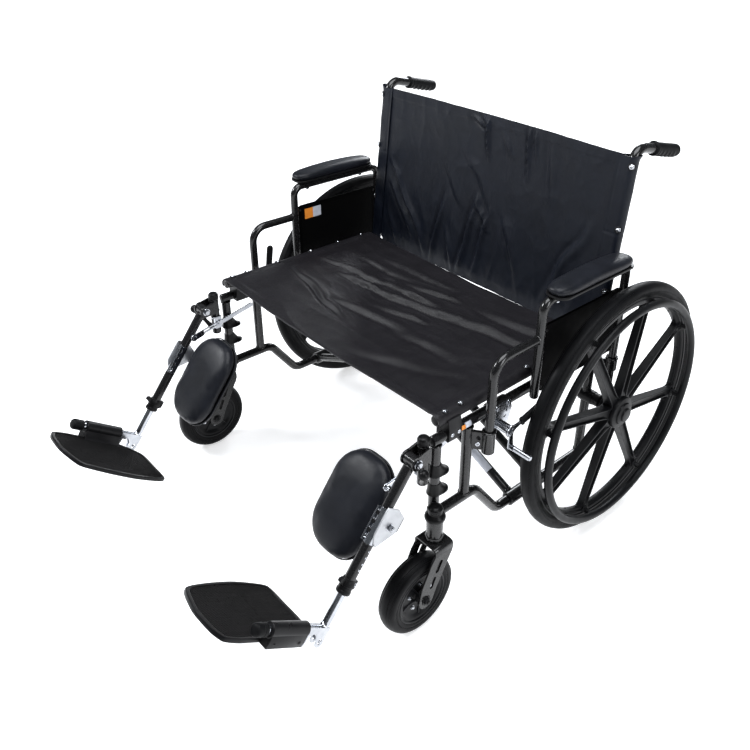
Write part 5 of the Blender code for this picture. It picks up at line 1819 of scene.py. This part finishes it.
def seat_sling():
    path, distance = seat_section()
    front, rear = -0.4905, -0.028
    rows, layout = [], []
    for y in [front, front + 0.0012] + between(front + 0.004, rear - 0.003, 150) + [rear]:
        row, spots = [], []
        inside_front = y - front
        inside_rear = rear - y
        for (x, z), travelled in zip(path, distance):
            free = eased((0.35 - abs(x)) / 0.035)
            ends = eased(min(inside_front / 0.03, inside_rear / 0.025))
            lift = folded(x, y, SEAT_FOLDS) * free * (0.25 + 0.75 * ends)
            rough = exp(-(((x + 0.09) / 0.19) ** 2) - ((y + 0.2) / 0.085) ** 2)
            lift += 0.0066 * rough * crumpled(x * 0.4 + y * 0.3, y - x * 0.12, 17.0, 2.0) * free
            lift += 0.0016 * crumpled(x * 0.35, y, 10.0, 7.0) * free
            lift += 0.0012 * noise.noise(Vector((x * 14, y * 14, 4.0))) * free
            top = 1 if z > SEAT_RAIL_Z + 0.006 else 0
            if top and inside_front < 0.024:
                lift += 0.0008
            if top and abs(inside_front - 0.0235) < 0.0016:
                lift -= 0.0004
            if top and 0.3505 < abs(x) < 0.3535:
                lift -= 0.0005
            if top and 0.3535 < abs(x) < 0.37:
                lift += 0.0005
            droop = 0.0022 * (1 - min(inside_front / 0.004, 1.0)) ** 2
            row.append(Vector((x, y + AXLE_Y, z + lift - droop)))
            spots.append((travelled, y))
        rows.append(row)
        layout.append(spots)
    sling = woven("seat_sling_cloth", rows, layout, SEAT_NYLON)
    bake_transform(sling)
    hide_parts("seat_sling")
    for side, body in (("left", "brace_b"), ("right", "brace_a")):
        lean = (Z_AXIS + outward(side) * 0.16).normalized()
        spots = [at(side, SEAT_RAIL_X, y, SEAT_RAIL_Z) + lean * (SEAT_WRAP + 0.001) for y in SCREW_YS]
        sling_screws(f"{side}_seat", spots, lean, body)


def back_panel():
    half = 0.356
    low, high = BACK_LOW_Z, 0.868
    rows, layout = [], []
    columns = between(-half, half, 200)
    levels = [low, low + 0.001, *between(low + 0.003, high - 0.026, 120)]
    levels += [*between(high - 0.0255, high - 0.002, 14), high - 0.0008, high]
    for z in levels:
        row, spots = [], []
        for x in columns:
            free = eased((0.346 - abs(x)) / 0.03)
            ends = min((z - low) / 0.02, (high - z) / 0.014, 1.0)
            ends = 0.35 + 0.65 * max(ends, 0.0)
            lift = folded(x, z, BACK_FOLDS) * free * ends
            lower = exp(-(((z - 0.54) / 0.12) ** 2) - ((x + 0.02) / 0.22) ** 2)
            lift += 0.0052 * lower * crumpled(x + 0.25 * z, z * 0.45, 9.0, 1.0) * free * ends
            lift += 0.0014 * crumpled(x * 1.1, z * 0.8, 12.0, 6.0) * free
            lift += 0.0028 * noise.noise(Vector((x * 6, z * 6, 2.0))) * free
            if high - z < 0.024:
                lift += 0.0009
            if abs(high - z - 0.0235) < 0.0014:
                lift -= 0.0005
            wave = 0.0016 * noise.noise(Vector((x * 9, 1.0, 5.0))) * free
            wave -= HEM_DROOP * eased((0.354 - abs(x)) / 0.022) * max(0.0, 1 - (z - low) / 0.11) ** 1.5
            sag = 0.01 * (1 - (x / 0.364) ** 2)
            row.append(Vector((x, AXLE_Y + cane_y(z) - 0.0105 + sag - lift, z + wave)))
            spots.append((x, z))
        rows.append(row)
        layout.append(spots)
    return woven("back_sling_cloth", rows, layout, BACK_NYLON), (2 * half, high - low)


def straight(start, end, steps):
    return list(zip(between(start[0], end[0], steps), between(start[1], end[1], steps)))


def back_sleeve(side):
    """The pocket sewn round a cane: from its front seam, round the outside, to the seam behind."""
    seam_front, seam_back = (0.3465, -0.0124), (0.349, -0.0088)
    around = arc(FRAME_X, 0, BACK_WRAP, -92, 135, 30)
    lead = straight(seam_front, around[0], 12)[:-1]
    tail = straight(around[-1], seam_back, 8)[1:]
    path = lead + around + tail
    low, high = BACK_LOW_Z - 0.014, 0.866
    rows, layout = [], []
    for z in between(low, 0.7, 60) + [0.7015, 0.7025, 0.704, 0.705] + between(0.7065, high, 50):
        row, spots = [], []
        travelled = 0.0
        for k, (x, y) in enumerate(path):
            if k:
                travelled += ((x - path[k - 1][0]) ** 2 + (y - path[k - 1][1]) ** 2) ** 0.5
            crease = 0.0007 * noise.noise(Vector((x * 40, y * 40, z * 22 + SIDES[side] * 9)))
            crease += 0.0006 * crumpled(travelled * 1.4, z * 0.5, 15.0, 11.0 + SIDES[side])
            stitch = -0.0005 if 0.0045 < travelled < 0.0075 else 0.0
            stitch -= 0.0005 if 0.701 < z < 0.7055 else 0.0
            out = Vector((0, -1 if k < len(lead) else 1))
            if len(lead) <= k < len(lead) + len(around):
                out = Vector((x - FRAME_X, y)).normalized()
            ear = 0.006 * max(0.0, (z - 0.852) / 0.014) ** 2 * max(out.x, 0.0) ** 3
            spot = Vector((x, y)) + out * (crease + stitch + ear)
            rise = 0.0035 * max(0.0, (z - 0.852) / 0.014) * max(out.x, 0.0) ** 2
            row.append(at(side, spot.x, spot.y + cane_y(z), z + rise))
            spots.append((travelled, z))
        rows.append(row)
        layout.append(spots)
    sleeve = woven(f"{side}_back_sling_sleeve", rows, layout, BACK_NYLON, 0.0011)
    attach(sleeve, f"{side}_frame")
    lean = (outward(side) * 0.6 - Y_AXIS).normalized()
    spots = [at(side, FRAME_X, cane_y(z), z) + lean * (BACK_WRAP + 0.0012) for z in SCREW_ZS]
    sling_screws(f"{side}_back", spots, lean, f"{side}_frame")
    return sleeve


def back_sling():
    panel, flat = back_panel()
    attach(panel, "left_frame")
    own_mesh(panel)
    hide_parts("back_sling")
    sleeves = [back_sleeve(side) for side in SIDES]


# The whole chair.

for side in SIDES:
    frame_body = f"{side}_frame"
    top_rails(side, frame_body)
    lower_rails(side, frame_body)
    posts(side, frame_body)
    back_canes(side, frame_body)
    push_grips(side, frame_body)
    caster_housings(side, frame_body)
    rear_wheels(side)
    casters(side)
    armrests(side)
    brakes(side)
    leg_rests(side)
far_label()
cross_braces()
seat_rails("left", "brace_b")
seat_rails("right", "brace_a")
for name, y, length, top, paint in (
    ("rail_orange_label", -0.432, 0.011, 36, ORANGE),
    ("rail_plain_label", -0.4208, 0.016, 50, LABEL),
):
    start = at("left", FRAME_X, y, TOP_RAIL_Z)
    sticker(name, start, Y_AXIS * length, Z_AXIS, TUBE + 0.00015, (-12, top), paint, "left_frame")
seat_sling()
back_sling()


# Studio.


def studio_floor():
    """A pale floor, so wide that its edge lies near the horizon."""
    steps = between(-60.0, 60.0, 40)
    rows = [[Vector((x, y, 0.0)) for x in steps] for y in steps]
    mesh_object("studio_floor", grid(rows, wrap=False, caps=False), floor_paint())


def floor_paint():
    tree = Tree("studio_floor")
    colour = tree.ramp(tree.noise(3.0, 3.0), (0.3, (0.84, 0.84, 0.845)), (0.7, (0.88, 0.88, 0.885)))
    distance = tree.add("ShaderNodeVectorMath", operation="LENGTH")
    tree.link(tree.space, distance.inputs[0])
    glow = tree.spread(distance.outputs["Value"], 0.56, 1.05, 1.5, 4.4)
    tree.link(glow, tree.shader.inputs["Emission Strength"])
    rough = tree.spread(tree.noise(8.0), 0.55, 0.7)
    return tree.done(colour, rough, Specular_IOR_Level=0.2, Emission_Color=(1.0, 1.0, 1.0, 1.0))


def soft_light(name, spot, target, size, power, tint=(1.0, 1.0, 1.0)):
    light = bpy.data.lights.new(name, "AREA")
    light.shape = "RECTANGLE"
    light.size, light.size_y = size
    light.energy = power
    light.color = tint
    lamp = placed(name, light)
    lamp.location = spot
    lamp.rotation_euler = (Vector(target) - Vector(spot)).to_track_quat("-Z", "Y").to_euler()


def studio():
    studio_floor()
    soft_light("overhead_light", (0.3, -0.2, 3.2), (0, 0, 0.4), (2.2, 2.2), 120, (0.95, 0.97, 1.0))
    soft_light("key_light", (-2.4, -2.2, 2.7), (0, 0, 0.5), (1.0, 1.0), 120, (0.95, 0.97, 1.0))
    soft_light("rim_light", (-1.7, 2.9, 2.0), (0, 0, 0.5), (1.8, 1.0), 90, (0.93, 0.96, 1.0))
    soft_light("right_light", (3.0, 0.2, 1.7), (0, 0, 0.5), (0.9, 1.8), 45, (0.95, 0.97, 1.0))
    world = bpy.data.worlds.new("studio")
    world.use_nodes = True
    tree = world.node_tree
    background = tree.nodes["Background"]
    background.inputs["Color"].default_value = (0.88, 0.94, 1.0, 1.0)
    # The world lights the chair weakly, and only the backdrop itself is shown near white.
    path = tree.nodes.new("ShaderNodeLightPath")
    strength = tree.nodes.new("ShaderNodeMapRange")
    strength.inputs["To Min"].default_value = 0.16
    strength.inputs["To Max"].default_value = 1.15
    tree.links.new(path.outputs["Is Camera Ray"], strength.inputs["Value"])
    tree.links.new(strength.outputs["Result"], background.inputs["Strength"])
    bpy.context.scene.world = world
    bpy.context.scene.view_settings.view_transform = "Standard"


def camera():
    right = Vector((0.67985, 0.73303, 0.02157))
    up = Vector((-0.36692, 0.31454, 0.87546))
    lens = bpy.data.cameras.new("view")
    lens.lens = 37.93
    lens.sensor_width = 36.0
    lens.shift_x = -0.0565
    lens.shift_y = -0.0834
    lens.clip_start = 0.05
    eye = placed("view", lens)
    eye.matrix_world = frame_of(Vector((1.2056, -1.0022, 1.3482)), right, up)
    bpy.context.scene.camera = eye


studio()
camera()
